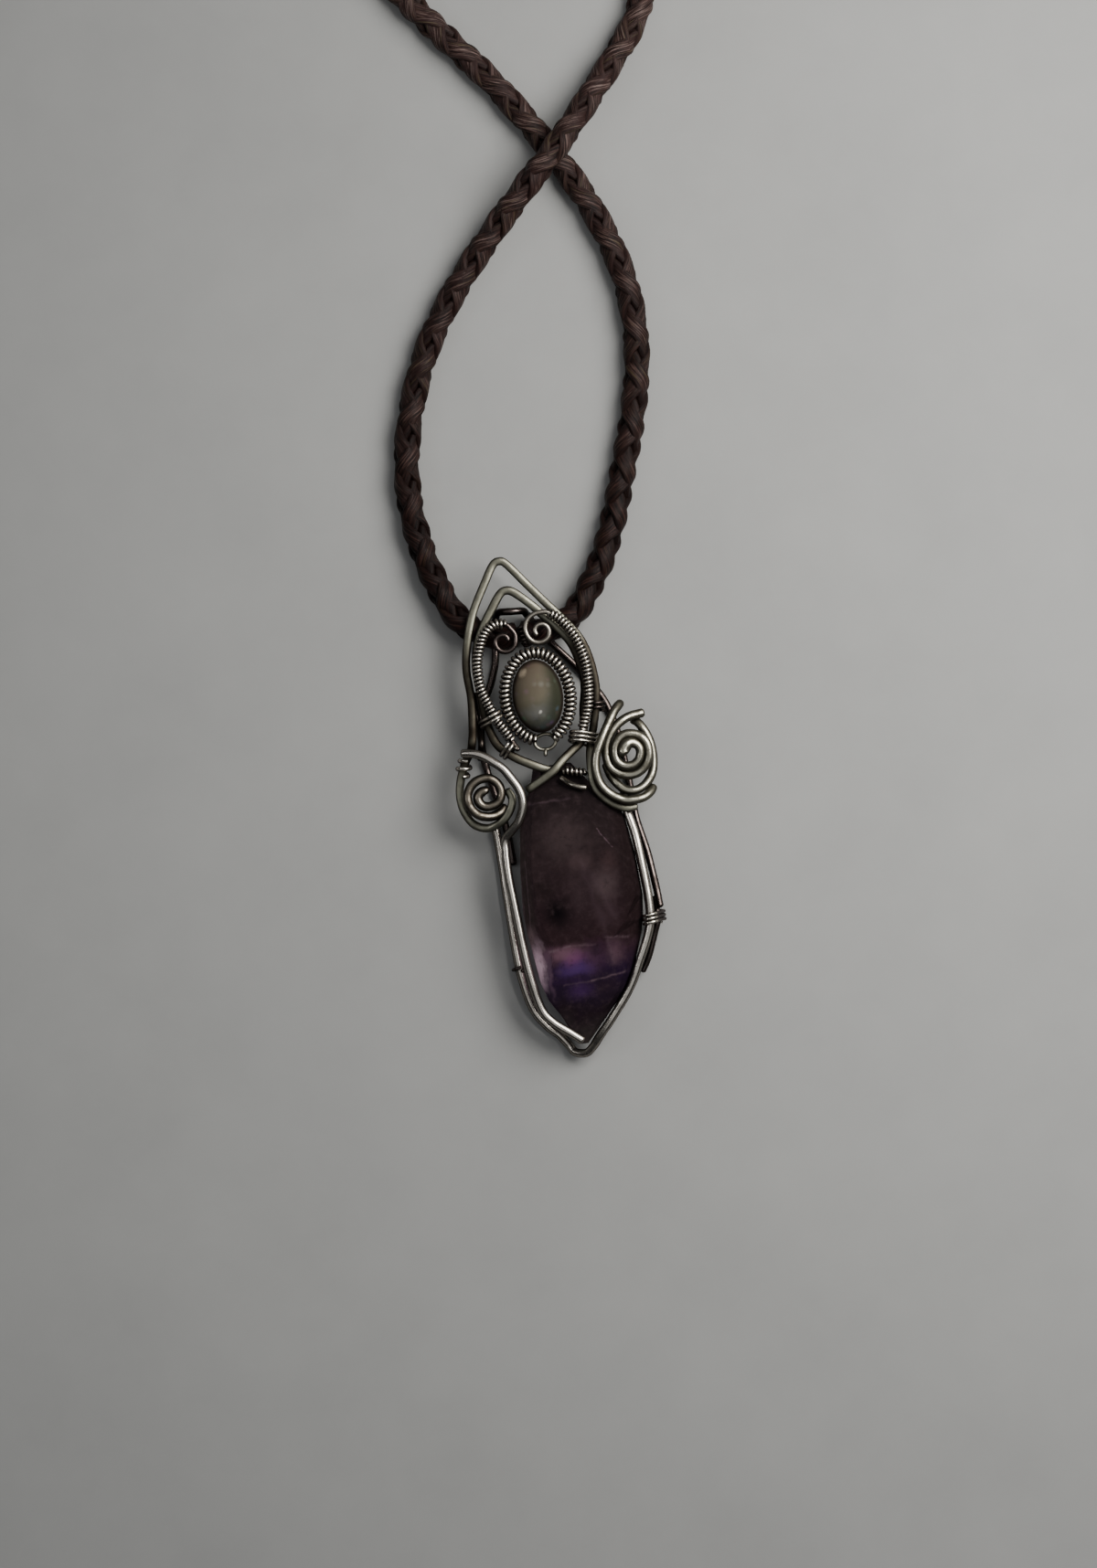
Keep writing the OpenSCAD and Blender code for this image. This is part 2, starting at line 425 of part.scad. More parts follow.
crystal();
opal();
opal_ring_coil();
opal_ring_core();
ring_loop();
left_coil();
left_scroll();
right_coil();
right_scroll();
outer_arch();
inner_arch();
left_stay();
back_frame();
left_frame();
right_frame();
back_stub();
left_spiral();
right_spiral();
right_sweep();
right_loop();
neck_coil();
neck_core();
neck_wire();
tie_post();
top_lash();
binding_left_up();
binding_left_low();
binding_right_up();
binding_right_low();
binding_rosette();
binding_side();
binding_side_left();
cord_left();
cord_right();
clasp();
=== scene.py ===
# %% [markdown]
# # A wire-wrapped crystal pendant
# The pendant is an amethyst point in a cage of bent silver wire, with an opal in a ring of coiled wire
# above it, and it hangs on a braided cord. Its solids come from CAD as a fixed frame, in metres. This
# lesson gives each solid the form and finish that the eye expects, without changing where anything is.

# %% Load the frame
import math

import bpy
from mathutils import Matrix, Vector


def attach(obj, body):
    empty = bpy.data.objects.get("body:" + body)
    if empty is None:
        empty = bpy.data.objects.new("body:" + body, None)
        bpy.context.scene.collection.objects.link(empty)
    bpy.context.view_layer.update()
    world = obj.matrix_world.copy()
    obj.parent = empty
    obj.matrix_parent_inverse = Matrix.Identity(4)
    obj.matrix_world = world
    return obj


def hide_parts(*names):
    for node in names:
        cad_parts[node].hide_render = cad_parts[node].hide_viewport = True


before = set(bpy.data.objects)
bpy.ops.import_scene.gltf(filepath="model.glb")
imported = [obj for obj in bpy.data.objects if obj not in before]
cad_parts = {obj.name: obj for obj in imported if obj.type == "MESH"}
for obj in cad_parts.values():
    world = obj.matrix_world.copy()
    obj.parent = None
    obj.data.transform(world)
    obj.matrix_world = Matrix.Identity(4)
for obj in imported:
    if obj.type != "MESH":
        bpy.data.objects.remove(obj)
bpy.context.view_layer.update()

print("nodes in the frame:", len(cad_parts))

# %% [markdown]
# ## Units
# The tables below repeat the CAD source's own numbers, in millimetres. The pendant was drawn first and
# then moved a little so that its middle is the origin, so every point gets the same small shift.

# %% Millimetres to metres
MM = 0.001
SHIFT = Vector((0.14, 0.14, -0.01))


def place(point):
    """A point of the tables in the frame's metres."""
    return (Vector(point) + SHIFT) * MM


def put_in(name, data):
    """A new object in the scene."""
    thing = bpy.data.objects.new(name, data)
    bpy.context.collection.objects.link(thing)
    return thing


# %% [markdown]
# ## Camera
# The photograph looks straight down on the pendant, which lies turned by 8 degrees. Its frame is about
# 120 by 172 mm at the height of the wires, and a long lens from half a metre up keeps the view flat.

# %% Camera
FRAME_HEIGHT = 171.6 * MM
WIRES_UP = 5 * MM
DISTANCE = 0.55
SENSOR = 36
lens = bpy.data.cameras.new("camera")
lens.sensor_fit = "VERTICAL"
lens.sensor_height = SENSOR
lens.lens = SENSOR * DISTANCE / FRAME_HEIGHT
lens.clip_start = 0.01
camera = put_in("camera", lens)
camera.location = (-0.99 * MM, 2.52 * MM, DISTANCE + WIRES_UP)
camera.rotation_euler = (0, 0, math.radians(-8))
bpy.context.scene.camera = camera
print("lens", round(lens.lens, 1), "mm")

# %% [markdown]
# ## Words for node trees
# A node tree is a small program: each node is a step, and each link carries a value to the next step.
# The class below wraps an output of a node, so that a sum such as a * b + c adds the nodes for it. Then
# the trees further down read from top to bottom like a recipe.

# %% Helpers for any tree
def sum_of(operation):
    """A method that adds one maths node."""
    return lambda self, other: step(operation, self, other)


class Value:
    """A node's output that takes part in plain sums. Each sum adds a maths node to its tree."""
    __add__, __sub__ = sum_of("ADD"), sum_of("SUBTRACT")
    __mul__, __truediv__, __pow__ = sum_of("MULTIPLY"), sum_of("DIVIDE"), sum_of("POWER")

    def __init__(self, socket):
        self.socket = socket
        self.tree = socket.id_data
        self.is_vector = socket.type in ("VECTOR", "RGBA")

    def __getitem__(self, name):
        """Another output of the same node, by its name or place."""
        return Value(self.socket.node.outputs[name])

    def __rsub__(self, other):
        return step("SUBTRACT", other, self)


def join(socket, value):
    """Links a socket to a value, or gives it a plain number, vector or colour."""
    if isinstance(value, Value):
        value.tree.links.new(value.socket, socket)
    else:
        socket.default_value = value


def fill(node, sockets):
    """Joins a node's inputs, which are named or numbered."""
    for name, value in sockets.items():
        join(node.inputs[name], value)


def add(tree, kind, sockets=None, **settings):
    """Adds a node, makes its settings, fills its inputs and returns its first output."""
    node = tree.nodes.new(kind)
    for name, value in settings.items():
        setattr(node, name, value)
    fill(node, sockets or {})
    return Value(node.outputs[0])


def step(operation, *values):
    """One maths node. It works on vectors when one of its values is a vector or a colour."""
    tree = next(v.tree for v in values if isinstance(v, Value))
    vectors = [v.is_vector if isinstance(v, Value) else isinstance(v, tuple) for v in values]
    if not any(vectors):
        return add(tree, "ShaderNodeMath", dict(enumerate(values)), operation=operation)
    if operation == "MULTIPLY" and not all(vectors):
        return add(tree, "ShaderNodeVectorMath", {0: values[0], "Scale": values[1]}, operation="SCALE")
    done = add(tree, "ShaderNodeVectorMath", dict(enumerate(values)), operation=operation)
    return done["Value"] if operation in ("DOT_PRODUCT", "LENGTH") else done


def parts(vector):
    """The vector's x, y and z, as [0], [1] and [2]."""
    return add(vector.tree, "ShaderNodeSeparateXYZ", {0: vector})


def new_group(name, takes, gives, way="ShaderNodeTree"):
    """An empty group, its inputs and its output node. An input is given by its kind or its first value."""
    tree = bpy.data.node_groups.new(name, way)
    for label, value in takes.items():
        kind = {str: value, int: "Int", float: "Float", tuple: "Vector"}[type(value)]
        socket = tree.interface.new_socket(label, in_out="INPUT", socket_type=f"NodeSocket{kind}")
        if kind != value:
            socket.default_value = value
    for label, kind in gives.items():
        tree.interface.new_socket(label, in_out="OUTPUT", socket_type=f"NodeSocket{kind}")
    return tree, Value(tree.nodes.new("NodeGroupInput").outputs[0]), tree.nodes.new("NodeGroupOutput")


# %% [markdown]
# A geometry tree here takes a chain of points, named sizes and a material. It always ends the same way:
# smooth shading, instances made real, material set.

# %% Helpers for geometry trees
def new_tree(name, sizes):
    """An empty geometry tree along a chain of points."""
    takes = {"Points": "Geometry", **sizes, "Material": "Material"}
    return new_group(name, takes, {"Mesh": "Geometry"}, "GeometryNodeTree")


def end_tree(put, mesh, material):
    """The last steps of every tree that makes a piece."""
    mesh = add(mesh.tree, "GeometryNodeSetShadeSmooth", {"Geometry": mesh})
    mesh = add(mesh.tree, "GeometryNodeRealizeInstances", {"Geometry": mesh})
    mesh = add(mesh.tree, "GeometryNodeSetMaterial", {"Geometry": mesh, "Material": material})
    fill(put, {"Mesh": mesh})


def mark(mesh, name, value, data_type="FLOAT"):
    """Stores a value on every point of the mesh, under a name that a finish can read."""
    return add(mesh.tree, "GeometryNodeStoreNamedAttribute", {"Geometry": mesh, "Name": name, "Value": value},
               domain="POINT", data_type=data_type)


def smooth_path(points, spacing):
    """The chain of points as one smooth curve through all of them, cut into even steps."""
    tree = points.tree
    curve = add(tree, "GeometryNodeMeshToCurve", {"Mesh": points})
    curve = add(tree, "GeometryNodeCurveSplineType", {"Curve": curve}, spline_type="CATMULL_ROM")
    curve = add(tree, "GeometryNodeSetSplineResolution", {"Geometry": curve, "Resolution": 12})
    return add(tree, "GeometryNodeResampleCurve", {"Curve": curve, "Length": spacing}, mode="LENGTH")


def sample(path, share):
    """The place on a path and the direction along it, at a share of its length."""
    seen = add(path.tree, "GeometryNodeSampleCurve", {"Curves": path, "Factor": share}, mode="FACTOR",
               use_all_curves=True)
    return seen["Position"], step("NORMALIZE", seen["Tangent"])


def round_ends(run, long, reach, full):
    """A factor for the thickness, which falls along a quarter circle over the last reach at both ends."""
    near_end = step("MINIMUM", run, long - run)
    share = step("MINIMUM", near_end / reach, 1.0)
    return step("SQRT", full - (1.0 - share) ** 2.0)


def tube(curve, radius, sides, scale=1.0):
    """A closed round skin along a curve."""
    ring = add(curve.tree, "GeometryNodeCurvePrimitiveCircle", {"Resolution": sides, "Radius": radius})
    return add(curve.tree, "GeometryNodeCurveToMesh", {
        "Curve": curve, "Profile Curve": ring, "Scale": scale, "Fill Caps": True})


# %% [markdown]
# A modifier runs a tree on an object that is only a chain of points. What is kept is a plain mesh of the
# result, so that no modifier is left on a piece. Each piece is then fixed to the body, and the CAD node
# that it stands for is hidden.

# %% Run a tree and settle a piece
def grow(name, tree, points, material, sizes):
    """Runs a tree along a chain of points and returns its result as a plain mesh object."""
    chain = bpy.data.meshes.new(name + "_guide")
    chain.from_pydata([place(p) for p in points], [(i, i + 1) for i in range(len(points) - 1)], [])
    guide = put_in(name + "_guide", chain)
    modifier = guide.modifiers.new(tree.name, "NODES")
    modifier.node_group = tree
    values = {**sizes, "Material": material}
    for socket in tree.interface.items_tree:
        if socket.in_out == "INPUT" and socket.name in values:
            value = values[socket.name]
            modifier[socket.identifier] = float(value) if socket.socket_type == "NodeSocketFloat" else value
    mesh = bpy.data.meshes.new_from_object(guide.evaluated_get(bpy.context.evaluated_depsgraph_get()))
    mesh.name = name
    bpy.data.objects.remove(guide)
    bpy.data.meshes.remove(chain)
    return put_in(name, mesh)


def settle(piece, node):
    """Fixes a finished piece to the body and hides the node that it stands for."""
    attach(piece, "root")
    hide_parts(node)
    print(f"{piece.name}: {sum(len(f.vertices) - 2 for f in piece.data.polygons)} triangles")


# %% [markdown]
# ## Words for finishes
# A finish is a shader: colours and roughness that change over the surface. All patterns read the
# object's own coordinates, turned into millimetres, so that their sizes can be given in millimetres.

# %% Helpers for finishes
def new_finish(name):
    """A material with its tree and its shader."""
    material = bpy.data.materials.new(name)
    material.use_nodes = True
    return material, material.node_tree, material.node_tree.nodes["Principled BSDF"]


def in_mm(tree):
    """The object's own coordinates in millimetres."""
    coords = add(tree, "ShaderNodeTexCoord")["Object"]
    return add(tree, "ShaderNodeMapping", {"Vector": coords, "Scale": (1 / MM, 1 / MM, 1 / MM)})


def attribute(tree, name):
    """What a mesh stores under a name."""
    return add(tree, "ShaderNodeAttribute", attribute_name=name)


def noise(where, scale, detail=2.0, roughness=0.5):
    """A soft random pattern between 0 and 1."""
    return add(where.tree, "ShaderNodeTexNoise", {
        "Vector": where, "Scale": scale, "Detail": detail, "Roughness": roughness})


def spread(value, low, high, start=0.0, end=1.0, way="LINEAR"):
    """Stretches the values between low and high over the values from start to end."""
    sockets = {"Value": value, "From Min": low, "From Max": high, "To Min": start, "To Max": end}
    return add(value.tree, "ShaderNodeMapRange", sockets, interpolation_type=way)


def ease(value, low, high, start=0.0, end=1.0):
    """The same as spread, but it starts and ends softly."""
    return spread(value, low, high, start, end, "SMOOTHSTEP")


def rgba(colour):
    """A plain colour with the fourth number that a socket wants."""
    return (*colour, 1) if isinstance(colour, tuple) else colour


def layers(colour, *rows):
    """Lays other colours over a colour, one after another. A row is a share and a colour."""
    for share, over in rows:
        mix = add(share.tree, "ShaderNodeMix", {0: share, 6: rgba(colour), 7: rgba(over)}, data_type="RGBA")
        colour = mix[2]
    return colour


def ramp(share, stops):
    """A colour that runs through the stops, which are rows of place and colour."""
    colour = add(share.tree, "ShaderNodeValToRGB", {"Fac": share})
    band = colour.socket.node.color_ramp
    while len(band.elements) < len(stops):
        band.elements.new(1)
    for element, (where, tint) in zip(band.elements, stops):
        element.position = where
        element.color = rgba(tint)
    return colour


def bump(height, strength, depth):
    """Turns a height pattern into a change of the surface's direction. depth is in millimetres."""
    sockets = {"Height": height, "Strength": strength, "Distance": depth * MM}
    return add(height.tree, "ShaderNodeBump", sockets)


# %% [markdown]
# ## Braided cord
# The real cord is a round braid of four waxed strands. Two wind one way round the middle and two the
# other way, and each passes over one neighbour and under the next. A tube with a bump pattern would keep
# a smooth edge, where the real one is lobed. So each strand is a skin of its own, laid out by one rule:
# turn round the path, and move in and out twice a turn. Its mesh stores where each point lies round and
# along it, and the finish draws the fine threads with that.

# %% Finish of the cord
def thread_finish():
    """Dark purple-brown waxed thread, with taupe wear and painted sheen on the lobes, painted shade in the
    hollows, a few olive flecks, and painted shade near the pendant's head.
    """
    material, tree, shader = new_finish("waxed_braid")
    lay = attribute(tree, "strand")["Vector"]
    out = attribute(tree, "stand_out")["Fac"]
    where = in_mm(tree)
    threads = add(tree, "ShaderNodeMapping", {"Vector": lay, "Scale": (2.6, 2.6, 0.2)})
    fine = noise(threads, 2.6, 3.0, 0.65)
    broad = noise(where, 0.35)
    patch = noise(threads, 0.9)
    # Threads, broad dark areas, lobes lighter with wear and painted sheen, olive flecks, and painted shade in
    # the hollows between the strands
    base = layers(
        (0.004, 0.0018, 0.0016),
        (spread(fine, 0.4, 0.63), (0.047, 0.0235, 0.019)),
        (spread(broad, 0.4, 0.68, 0, 0.65), (0.023, 0.01, 0.0088)),
        (spread(fine, 0.52, 0.66) * spread(out, 0.66, 0.98, 0, 0.8), (0.15, 0.1, 0.085)),
        (spread(patch, 0.58, 0.64) * spread(fine, 0.5, 0.6, 0, 0.8), (0.055, 0.042, 0.02)),
        (spread(out, 0.35, 0.7, 0.5, 0), (0.009, 0.005, 0.0045)))
    # The cord is painted darker near the pendant's head, as painted shade under the head, and lighter further
    # up.
    past_head_shade = spread(parts(where)[1], 30, 85)
    fill(shader, {
        "Base Color": layers(base * (0.46, 0.34, 0.32), (past_head_shade, base * (1.6, 1.75, 1.85))),
        "Roughness": spread(fine, 0.3, 0.7, 0.62, 0.4),
        "Normal": bump(fine, 0.7, 0.14),
        "Specular IOR Level": 0.15})
    return material


waxed_braid = thread_finish()

# %% One strand of the braid
STRAND_SIZES = {
    "Way": 1.0, "Start": 0.0, "Over": 1.0, "Pitch": 10.4 * MM, "Middle": 0.66 * MM, "Weave": 0.22 * MM,
    "Width": 1.14 * MM, "Height": 0.6 * MM, "Drift": 0.5, "Steps": 600, "Sides": 16}
SHORT_DRIFT, LONG_DRIFT = 6.3 * MM, 11.7 * MM
STRAND_END, SEAM = 0.5 * MM, 0.001 * MM
BRAID_RADIUS = 1.5 * MM


def strand_tree():
    """A closed skin for one strand that winds round the path."""
    tree, given, put = new_group("one strand", {"Path": "Geometry", **STRAND_SIZES}, {"Mesh": "Geometry"},
                                 "GeometryNodeTree")
    path = given["Path"]
    long = add(tree, "GeometryNodeCurveLength", {"Curve": path})
    grid = add(tree, "GeometryNodeMeshGrid", {
        "Size X": 1.0, "Size Y": 1.0, "Vertices X": given["Sides"], "Vertices Y": given["Steps"]})
    across = parts(grid["UV Map"])
    angle = across[0] * math.tau
    run = across[1] * long
    position, along = sample(path, across[1])
    side = step("NORMALIZE", step("CROSS_PRODUCT", along, (0.0, 0.0, 1.0)))
    up = step("CROSS_PRODUCT", side, along)
    drift = step("SINE", run / SHORT_DRIFT) * 0.1 + given["Drift"] * step("SINE", run / LONG_DRIFT)
    phase = run * math.tau / given["Pitch"]
    turn = phase * given["Way"] + given["Start"] + drift
    reach = given["Middle"] + step("COSINE", phase * 2.0) * given["Over"] * given["Weave"]
    cosine, sine = step("COSINE", turn), step("SINE", turn)
    away = up * cosine + side * sine
    round_it = side * cosine - up * sine
    close = round_ends(run, long, STRAND_END, 1.0)
    x, y = step("COSINE", angle), step("SINE", angle)
    out = reach + given["Height"] * x * close
    spot = position + away * out + round_it * (given["Width"] * y * close)
    skin = add(tree, "GeometryNodeSetPosition", {"Geometry": grid, "Position": spot})
    lay = add(tree, "ShaderNodeCombineXYZ", {0: x, 1: y, 2: run / MM})
    marked = mark(mark(skin, "strand", lay, "FLOAT_VECTOR"), "stand_out", out / BRAID_RADIUS)
    fill(put, {"Mesh": add(tree, "GeometryNodeMergeByDistance", {"Geometry": marked, "Distance": SEAM})})
    return tree


one_strand = strand_tree()

# %% [markdown]
# The braid uses the strand tree four times. The two pairs wind opposite ways, and they move in and out in
# opposite time, so that where they cross one is always outside and the other inside.

# %% The braid
BRAID_SIZES = {"Step": 0.5 * MM, "Start": 0.1, "Drift": 0.4, "Steps": 600}


def braid_tree():
    """Four strands plaited round the path."""
    tree, given, put = new_tree("four strand braid", BRAID_SIZES)
    path = smooth_path(given["Points"], given["Step"])
    plait = tree.nodes.new("GeometryNodeJoinGeometry")
    for way, turned in ((1.0, 0.0), (1.0, math.pi), (-1.0, 0.0), (-1.0, math.pi)):
        join(plait.inputs[0], add(tree, "GeometryNodeGroup", {
            "Path": path, "Way": way, "Start": given["Start"] + turned, "Over": way,
            "Drift": given["Drift"], "Steps": given["Steps"]}, node_tree=one_strand))
    end_tree(put, Value(plait.outputs[0]), given["Material"])
    return tree


braid = braid_tree()

# %% [markdown]
# Both halves of the cord leave the bail, cross above the pendant and run side by side to the clasp, as a
# necklace is laid out flat. A cord has a fixed length, so its path comes first and is never stretched.

# %% Cord paths
def straight(x, first, last):
    """Points up a straight side of the loop, one every 9 mm."""
    return [(x, y, 1.55) for y in range(first, last + 1, 9)]


CORD_LEFT = [
    (-2, 19.1, 2.5), (-3.8, 19.15, 2.5), (-5.6, 19.6, 2.5), (-7.3, 20.6, 2.5), (-8.7, 22.2, 2.4),
    (-9.8, 24.7, 2.2), (-11.1, 28.9, 1.8), (-11.9, 34.5, 1.55), (-11.6, 40, 1.55), (-10.1, 46, 1.55),
    (-7.5, 52, 1.55), (-3.9, 57.4, 1.8), (0.4, 62.4, 2.6), (4.8, 66.9, 4.1), (9.2, 71.2, 4.85),
    (12.8, 75.2, 4.1), (16.6, 79.8, 2.6), (20, 84.4, 1.7), (22, 89.6, 1.55), (22.4, 95.6, 1.55),
    *straight(22.5, 103, 184), (22.5, 192, 1.55), (22.5, 198, 1.55), (22.5, 204.6, 1.55), (21.8, 209, 1.6),
    (19.4, 212.9, 1.7), (15.9, 215.5, 1.9), (13.2, 216.2, 2.1), (11.6, 216.2, 2.1)]
CORD_RIGHT = [
    (-2, 19.1, 2.5), (-0.2, 19.05, 2.5), (1.5, 19.15, 2.5), (3.1, 19.75, 2.5), (4.5, 20.8, 2.4),
    (5.7, 22.25, 2.3), (8.2, 26.2, 2), (10.2, 30.8, 1.7), (11.9, 35.8, 1.55), (13.6, 41, 1.55),
    (14.9, 46.6, 1.55), (15.3, 52, 1.55), (14.7, 57.4, 1.55), (13, 63, 1.55), (10.5, 68.5, 1.55),
    (7.2, 74.2, 1.55), (3.4, 79.9, 1.55), (-0.6, 84.9, 1.55), (-4.4, 89.8, 1.55), (-7.8, 95, 1.55),
    (-10.3, 100.8, 1.55), (-11.4, 107, 1.55), *straight(-11.6, 115, 178), (-11.6, 186, 1.55),
    (-11.6, 192, 1.55), (-11.6, 198, 1.55), (-11.6, 204.6, 1.55), (-10.9, 209, 1.6), (-8.5, 212.9, 1.7),
    (-4.8, 215.5, 1.9), (-2, 216.2, 2.1), (-0.4, 216.2, 2.1)]

left_cord = grow("left_braid", braid, CORD_LEFT, waxed_braid, {"Start": 0.1, "Drift": 0.35})
right_cord = grow("right_braid", braid, CORD_RIGHT, waxed_braid, {"Start": 1.9, "Drift": 0.5})
settle(left_cord, "cord_left")
settle(right_cord, "cord_right")

# %% [markdown]
# ## Silver wire
# The wires are soft silver, bright on top and dark at their sides and wherever a cloth can't reach. The
# bright tops are partly rubbed wear and partly painted highlight, the dark sides partly tarnish and partly
# painted shade, and the dark hollows are patina. Each mesh stores how far its surface faces up, and ambient
# occlusion tells how much of the sky a point sees. A shader group turns the two into one mask. The arches
# also carry painted shade beside the opal.

# %% Patina group
UNRUBBED = 0.5


def patina_and_light_group():
    """A group that mixes bright and dark metal: bright where the surface faces up, as rubbed wear and painted
    highlight, dark at the sides, as tarnish and painted shade, and dark in hollows, as patina.
    """
    tree, given, put = new_group(
        "patina_and_painted_light", {"Where": "Vector", "Wear_and_top_light": "Float", "Bright": "Color", "Dark": "Color", "Low": "Float",
                   "Depth": "Float", "Tarnish": "Float", "Polish": "Float"},
        {"Colour": "Color", "Roughness": "Float", "Height": "Float"})
    sky = add(tree, "ShaderNodeAmbientOcclusion", {"Distance": given["Depth"]}, samples=6)["AO"]
    cloud = noise(given["Where"], 0.9, 4.0, 0.6)
    grain = noise(given["Where"], 9.0, 2.0, 0.7)
    # Bright where the surface faces up, partly rubbed wear and partly painted highlight; dark at the sides,
    # partly tarnish and partly painted shade.
    wear_and_light = given["Wear_and_top_light"] + spread(cloud, 0.3, 0.7, -0.08, 0.08) - given["Low"]
    stain = spread(cloud, 0.43, 0.64) * given["Tarnish"]
    share = ease(wear_and_light, 0.0, 0.7) * ease(sky, 0.35, 0.85) * (1.0 - stain)
    rough = share * (given["Polish"] - UNRUBBED) + UNRUBBED + spread(grain, 0.3, 0.7, -0.03, 0.05)
    colour = layers(given["Dark"], (share, given["Bright"]))
    fill(put, {"Colour": colour, "Roughness": rough, "Height": cloud})
    return tree


patina_and_painted_light = patina_and_light_group()


def silver_finish(name, bright, dark, depth, tarnish, polish, low, middle_shade=0.0):
    """Silver wire. The columns of its table say what each value is."""
    material, tree, shader = new_finish(name)
    where = in_mm(tree)
    along = parts(where)[1]
    # Painted shade on the arches in the head's middle, beside the opal.
    painted_middle_shade = spread(along, 3.5, 6.5, 0, middle_shade) * spread(along, 17.0, 20.5, 1, 0)
    wear_and_painted_light = add(tree, "ShaderNodeGroup", {
        "Where": where, "Wear_and_top_light": attribute(tree, "faces_up")["Fac"] - painted_middle_shade, "Bright": rgba(bright),
        "Dark": rgba(dark), "Low": low, "Depth": depth * MM, "Tarnish": tarnish, "Polish": polish},
        node_tree=patina_and_painted_light)
    fill(shader, {"Base Color": wear_and_painted_light["Colour"], "Roughness": wear_and_painted_light["Roughness"], "Metallic": 1,
                  "Normal": bump(wear_and_painted_light["Height"], 0.02, 0.12)})
    return material


# Columns: slot, bright colour, dark colour, depth in mm of the hollows that stay dark, share of stains,
# roughness where bright, tilt where the dark sides begin (partly painted shade), and how much painted shade
# darkens the head's middle
SILVERS = {
    "bright": ("silver", (0.85, 0.78, 0.69), (0.035, 0.026, 0.021), 0.9, 0.35, 0.15, 0.32),
    "side": ("silver", (0.06, 0.05, 0.043), (0.016, 0.012, 0.01), 0.9, 0.5, 0.2, 0.35),
    "rosette": ("silver", (0.7, 0.66, 0.53), (0.06, 0.054, 0.038), 1.2, 0.8, 0.1, 0.45),
    # The left finish is a darker copy of the rosette finish: partly darker metal and partly painted shade.
    "left": ("silver", (0.4, 0.35, 0.28), (0.025, 0.02, 0.015), 1.2, 0.8, 0.12, 0.5),
    "arch": ("silver", (0.3, 0.29, 0.225), (0.03, 0.024, 0.018), 0.7, 0.4, 0.3, 0.35, 0.5),
    "coil": ("silver", (0.97, 0.9, 0.78), (0.04, 0.026, 0.023), 0.4, 0.15, 0.17, 0.25),
    "scroll": ("dark_silver", (0.5, 0.45, 0.38), (0.02, 0.015, 0.012), 0.8, 0.5, 0.22, 0.25),
    "dark": ("dark_silver", (0.14, 0.11, 0.1), (0.012, 0.009, 0.008), 0.8, 0.6, 0.18, 0.25)}
silver = {name: silver_finish(name + "_silver", *row[1:]) for name, row in SILVERS.items()}
print("finishes:", len(bpy.data.materials))

# %% [markdown]
# ## Round wire
# Every plain wire is a round section carried along a smooth path, so one tree makes them all. Its ends
# are rounded over, and its thickness wavers a little, because it was bent and filed by hand. A wire that
# was hammered flat is pressed towards its own path.

# %% Round wire tree
WIRE_SIZES = {"Diameter": 0.8 * MM, "Step": 0.12 * MM, "Flat": 0.0, "Waver": 0.03, "Swell": 0.0, "Sides": 20}
WAVER_SCALE = 1 / (2.2 * MM)
END_SHARE, END_FULL = 0.7, 1.02
BULB, NECK = 1.2 * MM, 3.0 * MM


def facing_up(tree):
    """How far the surface faces up, from 1 through 0 at the sides to -1 below."""
    return parts(add(tree, "GeometryNodeInputNormal"))[2]


def wire_tree():
    """A round wire along the points."""
    tree, given, put = new_tree("round wire", WIRE_SIZES)
    here = add(tree, "GeometryNodeInputPosition")
    keep = tree.nodes.new("GeometryNodeCaptureAttribute")
    keep.domain = "POINT"
    keep.capture_items.new("VECTOR", "Middle")
    fill(keep, {"Geometry": smooth_path(given["Points"], given["Step"]), "Middle": here})
    path = Value(keep.outputs[0])
    run = add(tree, "GeometryNodeSplineParameter")["Length"]
    long = add(tree, "GeometryNodeSplineLength")
    radius = given["Diameter"] * 0.5
    cloud = add(tree, "ShaderNodeTexNoise", {"Scale": WAVER_SCALE, "Detail": 1.0})
    size = round_ends(run, long, radius * END_SHARE, END_FULL)
    size = size * ((cloud - 0.5) * (given["Waver"] * 4.0) + 1.0)
    size = size * (ease(run, BULB, NECK, 1, 0) * given["Swell"] + 1.0)
    wire = tube(path, radius, given["Sides"], size)
    press = parts(here - path["Middle"])[2] * (given["Flat"] * -1.0)
    down = add(tree, "ShaderNodeCombineXYZ", {2: press})
    pressed = add(tree, "GeometryNodeSetPosition", {"Geometry": wire, "Offset": down})
    end_tree(put, mark(pressed, "faces_up", facing_up(tree)), given["Material"])
    return tree


round_wire = wire_tree()


def bend(node, points, diameter, finish, **more):
    """A round wire that stands for one node. Its diameter is in millimetres."""
    sizes = {"Diameter": diameter * MM, **more}
    settle(grow(node + "_wire", round_wire, points, silver[finish], sizes), node)


# %% [markdown]
# ## Bent wires
# These are the CAD source's own routes. Two wires form the arches of the bail and run on down the head,
# two hold the crystal's edges, and the others tie the head together.

